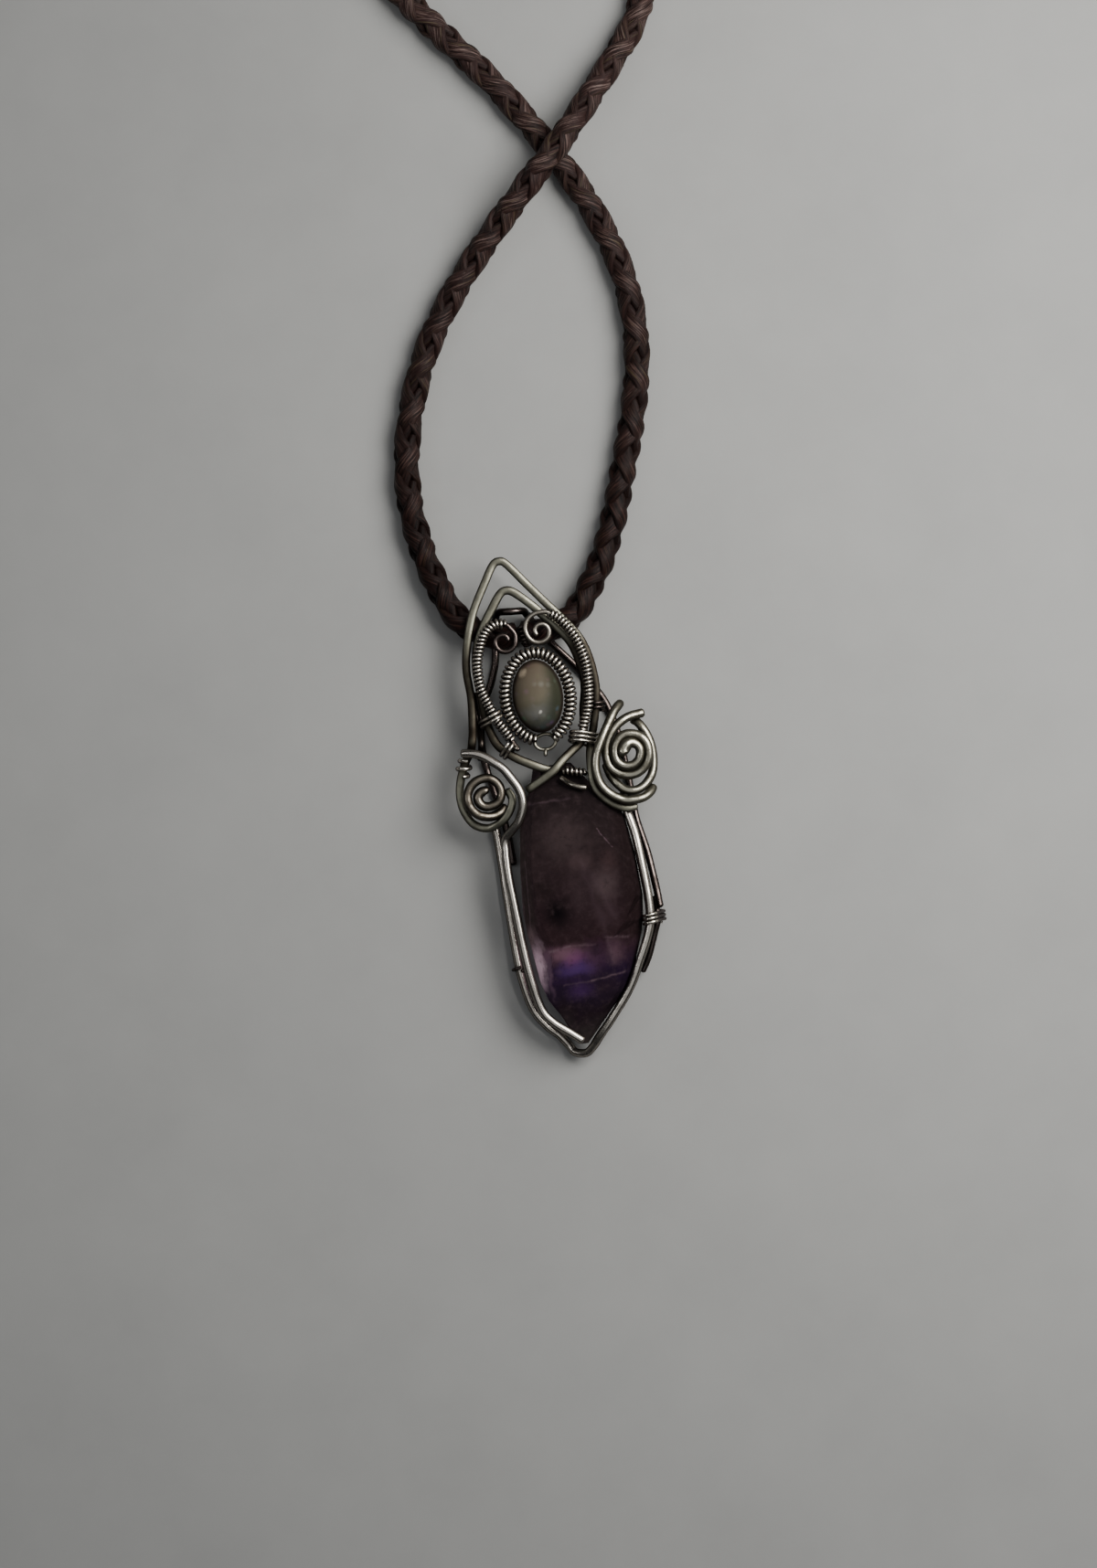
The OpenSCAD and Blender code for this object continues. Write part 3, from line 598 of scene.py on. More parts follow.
# %% Wire routes
OUTER_ARCH = [
    (-5.8, 2.5, 5.5), (-5.3, 1.4, 5.5), (-5.6, 0.3, 5.5), (-6.5, -0.8, 5.2), (-8.2, -1.5, 4.6),
    (-9.8, -0.9, 4.3), (-10.7, 0.7, 4.3), (-10.9, 2.6, 4.3), (-10.5, 4.4, 4.4), (-9.8, 6, 4.6),
    (-9.1, 7, 4.9), (-8.75, 8.1, 5.5), (-8.5, 9.6, 5), (-8.35, 11, 4.8), (-8.2, 13, 4.7),
    (-8.3, 15.9, 4.7), (-7.9, 18.4, 4.7), (-6.8, 21.9, 4.6), (-4.9, 25.3, 4.5), (-3.9, 26.9, 4.4),
    (-3.2, 27.3, 4.4), (-2.4, 26.9, 4.4), (-0.4, 24.3, 4.5), (1.3, 22.1, 4.6), (2.9, 20.1, 4.7),
    (4.4, 17.9, 4.7), (5.2, 15.5, 4.7), (5.5, 12.5, 4.7), (5.2, 10.3, 4.7), (4.7, 8.2, 4.6),
    (4.2, 6.6, 4.5), (3.8, 4.8, 4.9), (3.7, 3, 5.3), (3.8, 1.5, 5.4), (4.5, 0.3, 5.5), (5.7, -0.8, 5.5),
    (7, -1.4, 5.5), (8.2, -1.3, 5.3)]
INNER_ARCH = [
    (-3.6, 2, 5.3), (-2.8, 2.4, 5.6), (-0.6, 3.6, 5.9), (0.7, 4.7, 5.7), (1.9, 5.6, 5.2), (3, 6.5, 4.8),
    (3.6, 8.2, 4.6), (3.8, 10, 4.6), (4.3, 12.5, 4.6), (4.1, 15, 4.6), (3.4, 17.4, 4.6),
    (2.1, 19.3, 4.6), (0.9, 20.7, 4.6), (-0.3, 22.1, 4.6), (-2, 23.7, 4.6), (-2.9, 24, 4.6),
    (-3.6, 23.6, 4.6), (-4.7, 22.1, 4.6), (-5.7, 20.6, 4.6), (-6.7, 18.6, 4.6), (-7.2, 16, 4.6),
    (-7.1, 13, 4.6), (-7, 10.8, 4.6), (-6.7, 9.1, 4.8), (-6, 7.3, 5), (-4.4, 5.8, 5),
    (-2.2, 4.5, 4.9), (-0.9, 3.9, 4.7), (-0.2, 3.75, 4.5)]
LEFT_STAY = [
    (-7.8, 13.5, 3.4), (-7.9, 11.8, 3.4), (-7.85, 10.2, 3.6), (-7.85, 8.9, 4.5), (-7.8, 7.75, 5.3),
    (-7.95, 6.9, 4.9), (-8.2, 6, 4.1)]
BACK_FRAME = [
    (-6.2, -6, 0.42), (-6.4, -2, 0.42), (-7.1, 2, 0.42), (-7.8, 6, 0.42), (-7.7, 9, 0.42), (-7, 12, 0.42),
    (-5.9, 14.2, 0.42), (-5.1, 16.4, 0.42), (-4.8, 18.6, 0.42), (-4.6, 20.4, 0.55), (-4.3, 21.4, 1.4),
    (-3.9, 21.8, 2.8), (-2.6, 21.7, 3.3), (-1.3, 21.6, 2.8), (-0.9, 21.2, 1.4), (-0.3, 20.2, 0.55),
    (1.4, 17.7, 0.42), (3.7, 14.8, 0.42), (5.6, 11.9, 0.42), (6.5, 10, 0.42), (7.2, 7, 0.42),
    (7.6, 3, 0.42), (7.8, 0, 0.5), (7.95, -2.8, 0.75), (8.6, -6.4, 1.5), (9, -10.4, 2.4),
    (9.15, -12.8, 2.8)]
LEFT_FRAME = [
    (-1.2, -26.1, 4), (-2.5, -25, 4.3), (-4.2, -23.6, 4.4), (-5.3, -22, 4.5), (-5.95, -18.8, 4.9),
    (-6.35, -15.3, 5.1), (-6.6, -11.2, 5.2), (-6.85, -7.2, 5.2), (-6.8, -4.2, 5.1), (-6.6, -2.9, 5.2),
    (-5.8, -2.1, 5.8), (-4.9, -1.2, 6.3), (-4.25, 0.2, 6.7), (-4.2, 1.4, 6.8), (-4.5, 2.5, 6.8),
    (-5.1, 3.6, 6.8), (-5.8, 4.7, 6.7), (-6.8, 5.6, 6.6), (-7.7, 6.3, 6.4), (-8.8, 6.8, 6.2),
    (-10.2, 7, 5.8)]
RIGHT_FRAME = [
    (6.6, 0.4, 4.3), (6.9, -1.3, 4.5), (7.5, -4.3, 5), (7.75, -7.5, 5.3), (7.95, -11.1, 5.4),
    (7.85, -13.7, 5.4), (7.25, -15.7, 5.3), (6, -18.3, 5), (4.5, -21.1, 4.5), (2.2, -24, 3.8),
    (0.6, -25.8, 3.1), (-0.2, -26.8, 2.4), (-1.1, -27.5, 1.7), (-2.3, -27.3, 1), (-2.9, -26.4, 0.6),
    (-3.8, -25.2, 0.5), (-5, -24, 0.6), (-6.3, -21.8, 0.9), (-7.1, -17.5, 1.2), (-7.35, -11, 1),
    (-7.45, -4.5, 0.7), (-7.6, -1.5, 0.6)]
BACK_STUB = [(8.7, -11.4, 1.6), (8.75, -13.8, 2.2), (8.2, -15.4, 2), (7.2, -17.9, 1.6), (6.2, -19.6, 1.2)]
RIGHT_SWEEP = [
    (7.1, 9.3, 3.4), (7.8, 10, 4.4), (7.1, 9.3, 5.5), (6.1, 7.8, 6.2), (5.2, 6.3, 6.5), (4.5, 4.9, 6.6),
    (4.2, 3.5, 6.6), (4.3, 2.2, 6.5), (4.7, 1.2, 6.4), (5.5, 0.3, 6.3), (6.6, -0.4, 6.2), (7.7, -0.6, 6.2),
    (8.9, -0.5, 6), (9.8, 0, 5.4), (10.2, 0.6, 4.6)]
RIGHT_LOOP = [
    (5.4, 3.9, 4.5), (5.6, 2.8, 4.6), (6.1, 1.7, 5), (6.9, 0.75, 5.3), (7.8, 0.4, 5.4), (8.7, 0.5, 5.3),
    (9.6, 1.1, 5.1), (10.3, 2.1, 4.9), (10.6, 3.4, 4.8), (10.6, 4.8, 4.8), (10.3, 6.2, 4.7),
    (9.7, 7.4, 4.6), (9.2, 8, 4), (9.2, 7.9, 3.2)]
NECK_WIRE = [(0.2, 3, 5.1), (0.7, 2.5, 5.4), (1.4, 1.95, 5.9), (2.3, 1.55, 6.1), (3, 1.4, 6)]
POST = [(-1.5, 17.85, 4.88), (-1.65, 20.2, 4.88)]

# %% Bend the wires
# Columns: node, route, diameter in mm, finish, how flat it is pressed
WIRES = [
    ("outer_arch", OUTER_ARCH, 0.9, "arch", 0.5), ("inner_arch", INNER_ARCH, 0.94, "arch", 0.5),
    ("left_stay", LEFT_STAY, 0.7, "side", 0), ("back_frame", BACK_FRAME, 0.8, "dark", 0),
    ("left_frame", LEFT_FRAME, 0.95, "bright", 0), ("right_frame", RIGHT_FRAME, 0.95, "bright", 0),
    ("back_stub", BACK_STUB, 0.7, "dark", 0), ("right_sweep", RIGHT_SWEEP, 0.98, "rosette", 0),
    ("right_loop", RIGHT_LOOP, 0.98, "rosette", 0), ("neck_wire", NECK_WIRE, 0.65, "scroll", 0),
    ("tie_post", POST, 0.45, "dark", 0)]
for node, route, diameter, finish, flat in WIRES:
    bend(node, route, diameter, finish, Flat=flat)

# %% [markdown]
# ## Spirals and scrolls
# The rosettes and the curled ends inside the head are flat spirals. Hand-wound spirals don't open evenly,
# so a table gives the radius for the angle that the wire has turned through. The rosettes' inner ends
# swell to a small bulb.

# %% Spiral points
def look_up(value, table):
    """The value of a table of rows (place, value), read between its rows as CAD's own lookup does."""
    for (low, first), (high, second) in zip(table, table[1:]):
        if value <= high:
            return first + (second - first) * max(0, value - low) / (high - low)
    return table[-1][1]


def spiral(middle, start, radii, heights, way, every):
    """Points of a spiral round the middle, from its inner end outwards."""
    last = radii[-1][0]
    count = math.ceil(last / every)
    points = []
    for i in range(count + 1):
        turned = last * i / count
        angle, r = math.radians(start + way * turned), look_up(turned, radii)
        height = middle[2] + look_up(turned, heights)
        points.append((middle[0] + r * math.cos(angle), middle[1] + r * math.sin(angle), height))
    return points


LEFT_SPIRAL = [(0, 0.5), (120, 1), (230, 1.08), (310, 1.65), (370, 2.05), (480, 2.1), (560, 2.15), (630, 2.3)]
LEFT_SPIRAL_Z = [(0, 5.9), (300, 6), (500, 6.2), (545, 6), (630, 4.7)]
RIGHT_SPIRAL = [
    (0, 0.8), (50, 1.05), (100, 1.24), (150, 1.08), (200, 0.9), (250, 1), (300, 1.35), (345, 1.8),
    (385, 1.85), (440, 2.25), (500, 2.1), (550, 1.85), (600, 1.95), (655, 2.35), (705, 2.75), (740, 2.8),
    (775, 3.1), (805, 3.6), (832, 4.3), (845, 4.75)]
RIGHT_SPIRAL_Z = [
    (0, 6.5), (200, 6.2), (550, 6.1), (640, 5.9), (700, 5.7), (780, 5.6), (815, 5.4), (845, 4.6)]
left_turns = spiral((-8, 1.9, 0), 60, LEFT_SPIRAL, LEFT_SPIRAL_Z, way=1, every=24)
right_turns = spiral((8.35, 4.4, 0), 190, RIGHT_SPIRAL, RIGHT_SPIRAL_Z, way=-1, every=24)
# The left rosette takes the darker left finish, partly darker metal and partly painted shade.
bend("left_spiral", left_turns, 1.0, "left", Swell=0.1)
bend("right_spiral", right_turns, 1.0, "rosette", Swell=0.4)

# %% Arms with their scrolls
LEFT_COIL = [
    (-3.4, 20.3, 5.8), (-4.6, 20.45, 5.8), (-5.8, 19.6, 5.8), (-6.5, 18.2, 5.8), (-7, 16.6, 5.8),
    (-7.1, 15, 5.8), (-6.95, 13.4, 5.8), (-6.4, 11.8, 5.8), (-5.85, 10.2, 5.85), (-5.1, 8.9, 5.9),
    (-4.5, 7.7, 5.9)]
LEFT_TAIL = [(-4.15, 7, 5.85), (-3.8, 6.4, 5.75)]
RIGHT_COIL = [
    (1.5, 20.9, 5.8), (2.6, 20.1, 5.8), (3.8, 18.3, 5.8), (4.4, 16.7, 5.8), (4.75, 14.8, 5.8),
    (4.7, 13, 5.8), (4.55, 11.5, 5.8), (4.3, 10.1, 5.8), (3.8, 8.8, 5.8), (3.35, 7.8, 5.8)]
RIGHT_TAIL = [(2.95, 7, 5.75), (2.6, 6.4, 5.8)]
LEFT_SCROLL = [(0, 1.6), (60, 1.25), (150, 1.1), (260, 0.95), (360, 0.6), (430, 0.35)]
RIGHT_SCROLL = [
    (0, 2.2), (60, 1.9), (120, 1.45), (200, 1.12), (280, 0.98), (360, 0.85), (440, 0.62), (520, 0.45)]
level = [(0, 0), (1, 0)]
left_curl = spiral((-3.75, 18.45, 5.8), 58, LEFT_SCROLL, level, way=-1, every=30)
right_curl = spiral((0.3, 19, 5.8), 72, RIGHT_SCROLL, level, way=1, every=30)
CORE_D = 0.55
# The left scroll takes the dark finish as painted shade; the right one takes the brighter scroll finish.
bend("left_scroll", left_curl[::-1] + LEFT_COIL + LEFT_TAIL, CORE_D, "dark")
bend("right_scroll", right_curl[::-1] + RIGHT_COIL + RIGHT_TAIL, CORE_D, "scroll")

# %% [markdown]
# ## Wound wire
# The coils and the bindings are the same thing: a finer wire wound many times round something. So one
# tree winds a helix round any path. For a binding, which goes round two wires at once, the helix is
# pulled apart in its middle by half the gap between them to each side.

# %% Wound wire tree
WOUND_SIZES = {
    "Step": 0.1 * MM, "Turns": 10.0, "Reach": 0.5 * MM, "Gap": 0.0, "Toward": (0.0, 0.0, 1.0),
    "Start": 0.0, "Wire": 0.4 * MM, "Fineness": 16, "Sides": 8}


def wound_tree():
    """A fine wire wound round a path."""
    tree, given, put = new_tree("wound wire", WOUND_SIZES)
    path = smooth_path(given["Points"], given["Step"])
    count = given["Turns"] * given["Fineness"] + 1.0
    line = add(tree, "GeometryNodeCurvePrimitiveLine", {"End": (0.0, 0.0, 1.0)})
    line = add(tree, "GeometryNodeResampleCurve", {"Curve": line, "Count": count}, mode="COUNT")
    share = add(tree, "GeometryNodeSplineParameter")
    position, along = sample(path, share)
    lean = along * step("DOT_PRODUCT", along, given["Toward"])
    toward = step("NORMALIZE", given["Toward"] - lean)
    side = step("CROSS_PRODUCT", along, toward)
    angle = share * given["Turns"] * math.tau + given["Start"]
    cosine = step("COSINE", angle)
    one = cosine * given["Reach"] + step("SIGN", cosine) * given["Gap"]
    spot = position + toward * one + side * (step("SINE", angle) * given["Reach"])
    helix = add(tree, "GeometryNodeSetPosition", {"Geometry": line, "Position": spot})
    coil = tube(helix, given["Wire"] * 0.5, given["Sides"])
    end_tree(put, mark(coil, "faces_up", facing_up(tree)), given["Material"])
    return tree


wound_wire = wound_tree()


def wind(node, points, turns, reach, fine, finish, **more):
    """A fine wire wound round a path, for one node. reach and fine are in millimetres."""
    sizes = {"Turns": turns, "Reach": reach * MM, "Wire": fine * MM, **more}
    settle(grow(node + "_wound", wound_wire, points, silver[finish], sizes), node)


# %% [markdown]
# ## Coils
# The ring round the opal is wound from the thickest of the fine wires, the two arms from a finer one,
# and the collar across the crystal's top from a few turns. The turns stand about a tenth of a millimetre
# apart, and their number is the path's length divided by the step from one turn to the next.

# %% Coils
def path_length(points):
    """Length of a chain of points in millimetres."""
    return sum((Vector(b) - Vector(a)).length for a, b in zip(points, points[1:]))


def oval(middle, a, b, start, sweep, count):
    """Points round a part of an oval with the half axes a and b. Its angles are in degrees."""
    points = []
    for i in range(count + 1):
        angle = math.radians(start + sweep * i / count)
        points.append((middle[0] + a * math.cos(angle), middle[1] + b * math.sin(angle), middle[2]))
    return points


ring = oval((-0.95, 12, 5.75), 3.55, 4.85, start=-72, sweep=326, count=27)
NECK_COIL = [(0.7, 3.65, 4.9), (1.8, 3.35, 4.95), (2.9, 3.05, 4.7)]
# Columns: node, path, diameter over the turns, wire, step from turn to turn
COILS = [
    ("opal_ring_coil", ring, 1.45, 0.4, 0.52), ("left_coil", LEFT_COIL, 1.2, 0.33, 0.43),
    ("right_coil", RIGHT_COIL, 1.2, 0.33, 0.43), ("neck_coil", NECK_COIL, 1.05, 0.3, 0.42)]
for node, points, outside, fine, pitch in COILS:
    turns = round(path_length(points) / pitch)
    wind(node, points, turns, (outside - fine) / 2, fine, "coil")
    print("  turns:", turns)

# %% Cores of the ring and the collar
def run_out(points, length):
    """The chain with a straight piece added at both ends."""
    first = Vector(points[0]) + length * (Vector(points[0]) - Vector(points[1])).normalized()
    last = Vector(points[-1]) + length * (Vector(points[-1]) - Vector(points[-2])).normalized()
    return [tuple(first), *points, tuple(last)]


bend("opal_ring_core", run_out(ring, 0.25), CORE_D, "dark")
bend("neck_core", run_out(NECK_COIL, 0.4), CORE_D, "dark")

# %% [markdown]
# ## Bindings
# Short lashings of fine wire hold neighbours together.

# %% Bindings
# Columns: node, middles of the two wires, way along them, radius of the turns, their number, step from
# one to the next, wire, finish
BINDINGS = [
    ("binding_left_up", (-6, 10.35, 5.9), (-6.8, 10.3, 4.75), (0.3, -1, 0), 0.9, 2, 0.5, 0.36, "coil"),
    ("binding_left_low", (-5.15, 6.45, 5), (-4.7, 6.8, 5.7), (0.7, -0.7, 0), 0.66, 2, 0.5, 0.4, "coil"),
    ("binding_right_up", (5.2, 10.1, 4.65), (5.4, 10.1, 4.55), (-0.15, -1, 0), 0.67, 2, 0.48, 0.36, "dark"),
    ("binding_right_low", (2.85, 6.8, 5.3), (4.1, 6.7, 4.6), (-0.3, -1, 0.1), 1.02, 3, 0.46, 0.36, "coil"),
    ("binding_rosette", (-10.05, 5.4, 4.5), (-10.05, 5.4, 4.55), (0.42, 1, 0.1), 0.68, 2, 0.9, 0.45, "coil"),
    ("binding_side", (7.85, -13.7, 5.4), (8.75, -13.8, 2.3), (0, -1, 0), 0.76, 3, 0.42, 0.36, "coil"),
    ("binding_side_left", (-7.1, -17.4, 1.15), (-7.1, -17.4, 1.2), (-0.1, 1, 0), 0.74, 1, 0.42, 0.36, "dark"),
    ("top_lash", (-1.625, 19.025, 4.88), (-1.525, 19.025, 4.88), (-0.15, 2.35, 0), 0.455, 4, 0.46, 0.36,
     "dark")]
for node, first, second, axis, reach, turns, pitch, fine, finish in BINDINGS:
    along = Vector(axis).normalized()
    gap = Vector(second) - Vector(first)
    gap -= along * gap.dot(along)
    middle = (Vector(first) + Vector(second)) / 2
    half = along * turns * pitch / 2
    path = [tuple(middle - half), tuple(middle), tuple(middle + half)]
    wind(node, path, turns, reach, fine, finish, Gap=gap.length / 2 * MM, Toward=tuple(gap.normalized()),
         Fineness=32, Sides=10, Start=0.26)

# %% [markdown]
# Below the opal a small wire loop with a short stem hangs in the ring's opening.

# %% Small loop under the opal
STEM = [(-1.02, 5.4, 5.1), (-1, 5.75, 5.15), (-0.93, 6.05, 5.05)]
turn = oval((-0.85, 7, 4.95), 1.15, 0.85, start=-90, sweep=378, count=21)
bend("ring_loop", STEM + turn, 0.4, "rosette")

# %% [markdown]
# ## Skins through rings
# The two stones and the clasp are solids of a few sections. A skin is laid through the rings of points
# and closed at both ends, and then the normals are turned outwards.

# %% Skin helper
import bmesh


def skin(name, rings, material, smooth):
    """A closed mesh object through rings of points, which are given in the tables' millimetres."""
    mesh = bpy.data.meshes.new(name)
    m = len(rings[0])
    faces = [tuple(range(m)), tuple(range(len(rings) * m - m, len(rings) * m))]
    for i in range(len(rings) - 1):
        for j in range(m):
            k = (j + 1) % m
            faces.append((i * m + j, i * m + m + j, i * m + m + k, i * m + k))
    mesh.from_pydata([place(p) for ring in rings for p in ring], [], faces)
    shape = bmesh.new()
    shape.from_mesh(mesh)
    bmesh.ops.recalc_face_normals(shape, faces=shape.faces)
    shape.to_mesh(mesh)
    shape.free()
    for face in mesh.polygons:
        face.use_smooth = smooth
    faces_up = mesh.attributes.new("faces_up", "FLOAT", "POINT")
    faces_up.data.foreach_set("value", [vertex.normal.z for vertex in mesh.vertices])
    mesh.materials.append(material)
    return put_in(name, mesh)


# %% [markdown]
# ## Amethyst
# The stone is a worn six-sided point, smoky and nearly opaque, whose colour gathers near the tip in
# violet. Real glass with a dark body inside would need many light paths, so the depth is drawn in the
# surface: bands along the stone, clouds, and healed cracks. Its left facets glow a little in their own
# colour and carry a lighter band: painted light that stands for the light those facets turn away from.

# %% Crack group and cloud group
FROM_FRONT = (1.0, 1.0, 0.0)


def shaken(where, scale, detail, amount):
    """The place, moved about by a soft pattern, so that an edge drawn with it wavers."""
    shake = noise(where, scale, detail)["Color"]
    return where + (shake - (0.5, 0.5, 0.5)) * amount


def crack_group():
    """A group that marks a straight healed crack between two points, seen from the front."""
    tree, given, put = new_group("healed crack", {
        "Where": "Vector", "From": "Vector", "To": "Vector", "Width": "Float", "Waver": "Float"},
        {"Mask": "Float"})
    line = given["To"] - given["From"]
    away = shaken(given["Where"], 0.9, 3.0, given["Waver"]) * FROM_FRONT - given["From"]
    share = step("DOT_PRODUCT", away, line) / step("DOT_PRODUCT", line, line)
    share = step("MINIMUM", step("MAXIMUM", share, 0.0), 1.0)
    distance = step("LENGTH", away - line * share)
    fill(put, {"Mask": (1.0 - step("MINIMUM", distance / given["Width"], 1.0)) ** 1.5})
    return tree


def cloud_group():
    """A group that marks a soft cloud round a point, seen from the front."""
    tree, given, put = new_group(
        "soft cloud", {"Where": "Vector", "Middle": "Vector", "Reach": "Vector"}, {"Mask": "Float"})
    away = (shaken(given["Where"], 0.8, 4.0, 1.3) - given["Middle"]) / given["Reach"]
    fill(put, {"Mask": ease(step("LENGTH", away * FROM_FRONT), 0.0, 1.3, 1, 0)})
    return tree


crack, soft_cloud = crack_group(), cloud_group()


def cloud_at(where, middle, reach):
    """The soft cloud's share of each point."""
    return add(where.tree, "ShaderNodeGroup", {
        "Where": where, "Middle": (*middle, 0.0), "Reach": (*reach, 1.0)}, node_tree=soft_cloud)


# %% Clouds and cracks of the amethyst
# Columns: from, to, width, waver, share
CRACKS = [
    ((-4, 0.6), (1, 0.7), 0.3, 0.8, 0.3), ((3.5, -3), (4.9, -5.2), 0.13, 0.3, 0.9),
    ((-3.5, -15.7), (-1.2, -15.3), 0.25, 0.4, 0.7), ((-1.2, -15.3), (1.6, -15.5), 0.25, 0.4, 0.35),
    ((2.8, -14.8), (5.2, -15.2), 0.3, 0.6, 0.5), ((-2.4, -19.5), (0.9, -19.4), 0.2, 0.3, 0.3),
    ((0.7, -19.4), (4.4, -18.9), 0.22, 0.3, 0.6), ((3, -15), (3.4, -17.8), 0.4, 0.5, 0.3),
    ((1.4, -6.6), (2.9, -14.2), 0.8, 1.2, 0.12), ((2.4, -8), (4.2, -12.6), 0.7, 1, 0.12),
    ((-5.3, -4), (-5.7, -12.5), 0.16, 0.2, 0.35), ((-4.7, -5.5), (-5.1, -13), 0.12, 0.2, 0.3)]
# Columns: middle, reach, colour, share
PATCHES = [
    ((0, -3.4), (3.2, 3.2), (0.05, 0.034, 0.035), 0.7),
    ((1.2, -6.4), (1.6, 1.4), (0.06, 0.038, 0.04), 0.6),
    ((3.6, -9.2), (1.6, 2.4), (0.07, 0.047, 0.05), 0.7),
    ((4.4, -6.6), (1.2, 1.5), (0.045, 0.026, 0.027), 0.7),
    ((3.4, -12.4), (1.6, 1.8), (0.036, 0.021, 0.025), 0.7),
    ((0.6, -9.6), (1.5, 3.4), (0.034, 0.021, 0.024), 0.6),
    ((-2, -11.6), (1.7, 2), (0.002, 0.0015, 0.002), 0.95),
    ((-3, -9), (1.6, 1.6), (0.011, 0.007, 0.007), 0.6),
    ((-1.7, -16.1), (2.6, 1.2), (0.13, 0.065, 0.09), 0.85),
    ((-0.6, -16.8), (1.8, 1), (0.125, 0.04, 0.11), 0.8),
    ((1.2, -17.2), (2, 1.7), (0.045, 0.02, 0.042), 0.8),
    ((1.6, -16), (0.7, 0.8), (0.018, 0.009, 0.016), 0.7),
    ((3.8, -16.5), (1.1, 1.6), (0.075, 0.04, 0.055), 0.85),
    ((-0.9, -17.9), (2.2, 1.1), (0.055, 0.024, 0.1), 0.85),
    ((-1.6, -19), (2.6, 0.6), (0.02, 0.008, 0.028), 0.8),
    ((-0.6, -20.3), (1.9, 1.2), (0.036, 0.014, 0.055), 0.85),
    ((2.2, -20.2), (1.9, 1.5), (0.017, 0.009, 0.015), 0.8),
    ((-4.7, -17.2), (0.85, 3.2), (0.32, 0.22, 0.265), 0.95),
    ((-3.7, -18), (0.35, 3), (0.08, 0.045, 0.07), 0.8),
    ((-5.2, -13.6), (0.7, 1.5), (0.08, 0.053, 0.057), 0.85)]

# %% Amethyst finish
def in_world(tree, direction):
    """A direction of the object, as the world sees it."""
    return add(tree, "ShaderNodeVectorTransform", {0: direction}, vector_type="NORMAL",
               convert_from="OBJECT", convert_to="WORLD")


def amethyst_finish():
    """Smoky body, violet tip, clouds and cracks under a polished face."""
    material, tree, shader = new_finish("smoky_amethyst")
    where = in_mm(tree)
    clouds = noise(where, 0.28, 4.0, 0.6)
    fine = noise(where, 1.3, 5.0, 0.65)
    axes = parts(where)
    along = axes[1] + spread(clouds, 0.3, 0.7, -1.0, 1.0)
    body = ramp(spread(along, -27, 5), [
        (0.0, (0.03, 0.025, 0.022)), (0.14, (0.011, 0.006, 0.009)), (0.2, (0.012, 0.006, 0.015)),
        (0.27, (0.014, 0.006, 0.02)), (0.34, (0.03, 0.013, 0.022)), (0.38, (0.02, 0.01, 0.012)),
        (0.5, (0.02, 0.011, 0.013)), (0.72, (0.022, 0.014, 0.015)), (1.0, (0.008, 0.0055, 0.006))])
    for middle, reach, colour, share in PATCHES:
        body = layers(body, (cloud_at(where, middle, reach) * share, colour))
    # A lighter band on the left facet, painted light where that facet turns from the lamp; a darker band
    # towards the right edge; and the pale and dark grain
    body = layers(
        body,
        (ease(axes[0], -4.9, -4.1, 0.8, 0.0) * spread(axes[1], -13.6, -12.0), (0.019, 0.014, 0.013)),
        (ease(axes[0], 4.6, 6.4, 0.0, 0.5), (0.015, 0.008, 0.008)),
        (spread(fine, 0.5, 0.78, 0, 0.25), (0.08, 0.05, 0.055)),
        (spread(fine, 0.3, 0.46, 0.4, 0), (0.008, 0.005, 0.006)))
    for start, end, width, waver, share in CRACKS:
        line = add(tree, "ShaderNodeGroup", {
            "Where": where, "From": (*start, 0.0), "To": (*end, 0.0), "Width": width, "Waver": waver},
            node_tree=crack)
        body = layers(body, (line * spread(fine, 0.38, 0.56, 0.15, share), (0.11, 0.07, 0.085)))
    face = add(tree, "ShaderNodeNewGeometry")["Normal"]
    up, left = in_world(tree, (0.0, 0.0, 1.0)), in_world(tree, (-1.0, 0.0, 0.0))
    # Facets that face left glow in the body's own colour: painted light, since no lamp is inside the stone.
    through = spread(step("DOT_PRODUCT", face, left), 0.3, 0.6, 0.0, 0.65)
    lift = ease(step("DOT_PRODUCT", face, up), 0.0, 0.3, 0.0, 9.0)
    uneven = bump(clouds + fine * 0.15, 0.3, 0.35)
    fill(shader, {
        "Base Color": body, "Roughness": spread(fine, 0.35, 0.7, 0.12, 0.28),
        "Emission Color": body * through, "Emission Strength": 1.0,
        "Normal": step("NORMALIZE", uneven + up * lift), "IOR": 1.54, "Specular IOR Level": 0.05})
    return material


smoky_amethyst = amethyst_finish()

# %% Crystal
# Columns: y, left edge, front face from and to, right edge, back face from and to, front z, back z
CRYSTAL = [
    (4.4, -2.6, -1.6, 0.6, 1.6, -1.8, 0.8, 3.7, 2.6),
    (2.2, -3.2, -2.2, 1.2, 3.2, -2.2, 2.2, 4.7, 1.9),
    (0.6, -4, -3, 1.7, 5, -3, 4, 6.4, 1.5),
    (-2, -4.9, -3.6, 3.2, 6.6, -3.9, 5.6, 7.7, 1.2),
    (-6.3, -5.5, -4.2, 5.4, 7.2, -4.2, 6, 8.1, 1.1),
    (-11, -5.85, -4.2, 6.5, 7.4, -4.4, 6, 8.1, 1.1),
    (-13.6, -5.7, -3.6, 5, 7.1, -4.2, 5.6, 7.8, 1.1),
    (-15.2, -5.5, -3, 3.4, 6.7, -4, 5, 7.5, 1.2),
    (-19.2, -5, -4, 4.1, 5.25, -3.6, 3.6, 6.5, 1.5),
    (-21.2, -4.4, -4, 3.1, 4.1, -3.2, 2.4, 5.6, 1.7),
    (-23, -3.3, -3, 1.5, 2.4, -2.4, 0.9, 4.7, 2),
    (-26.4, -1.7, -1.6, -1, -0.7, -1.6, -1.1, 3, 2.4)]
SIDE_EDGE = 0.46
SHARP = math.radians(14)
WORN = 0.06 * MM
sections = []
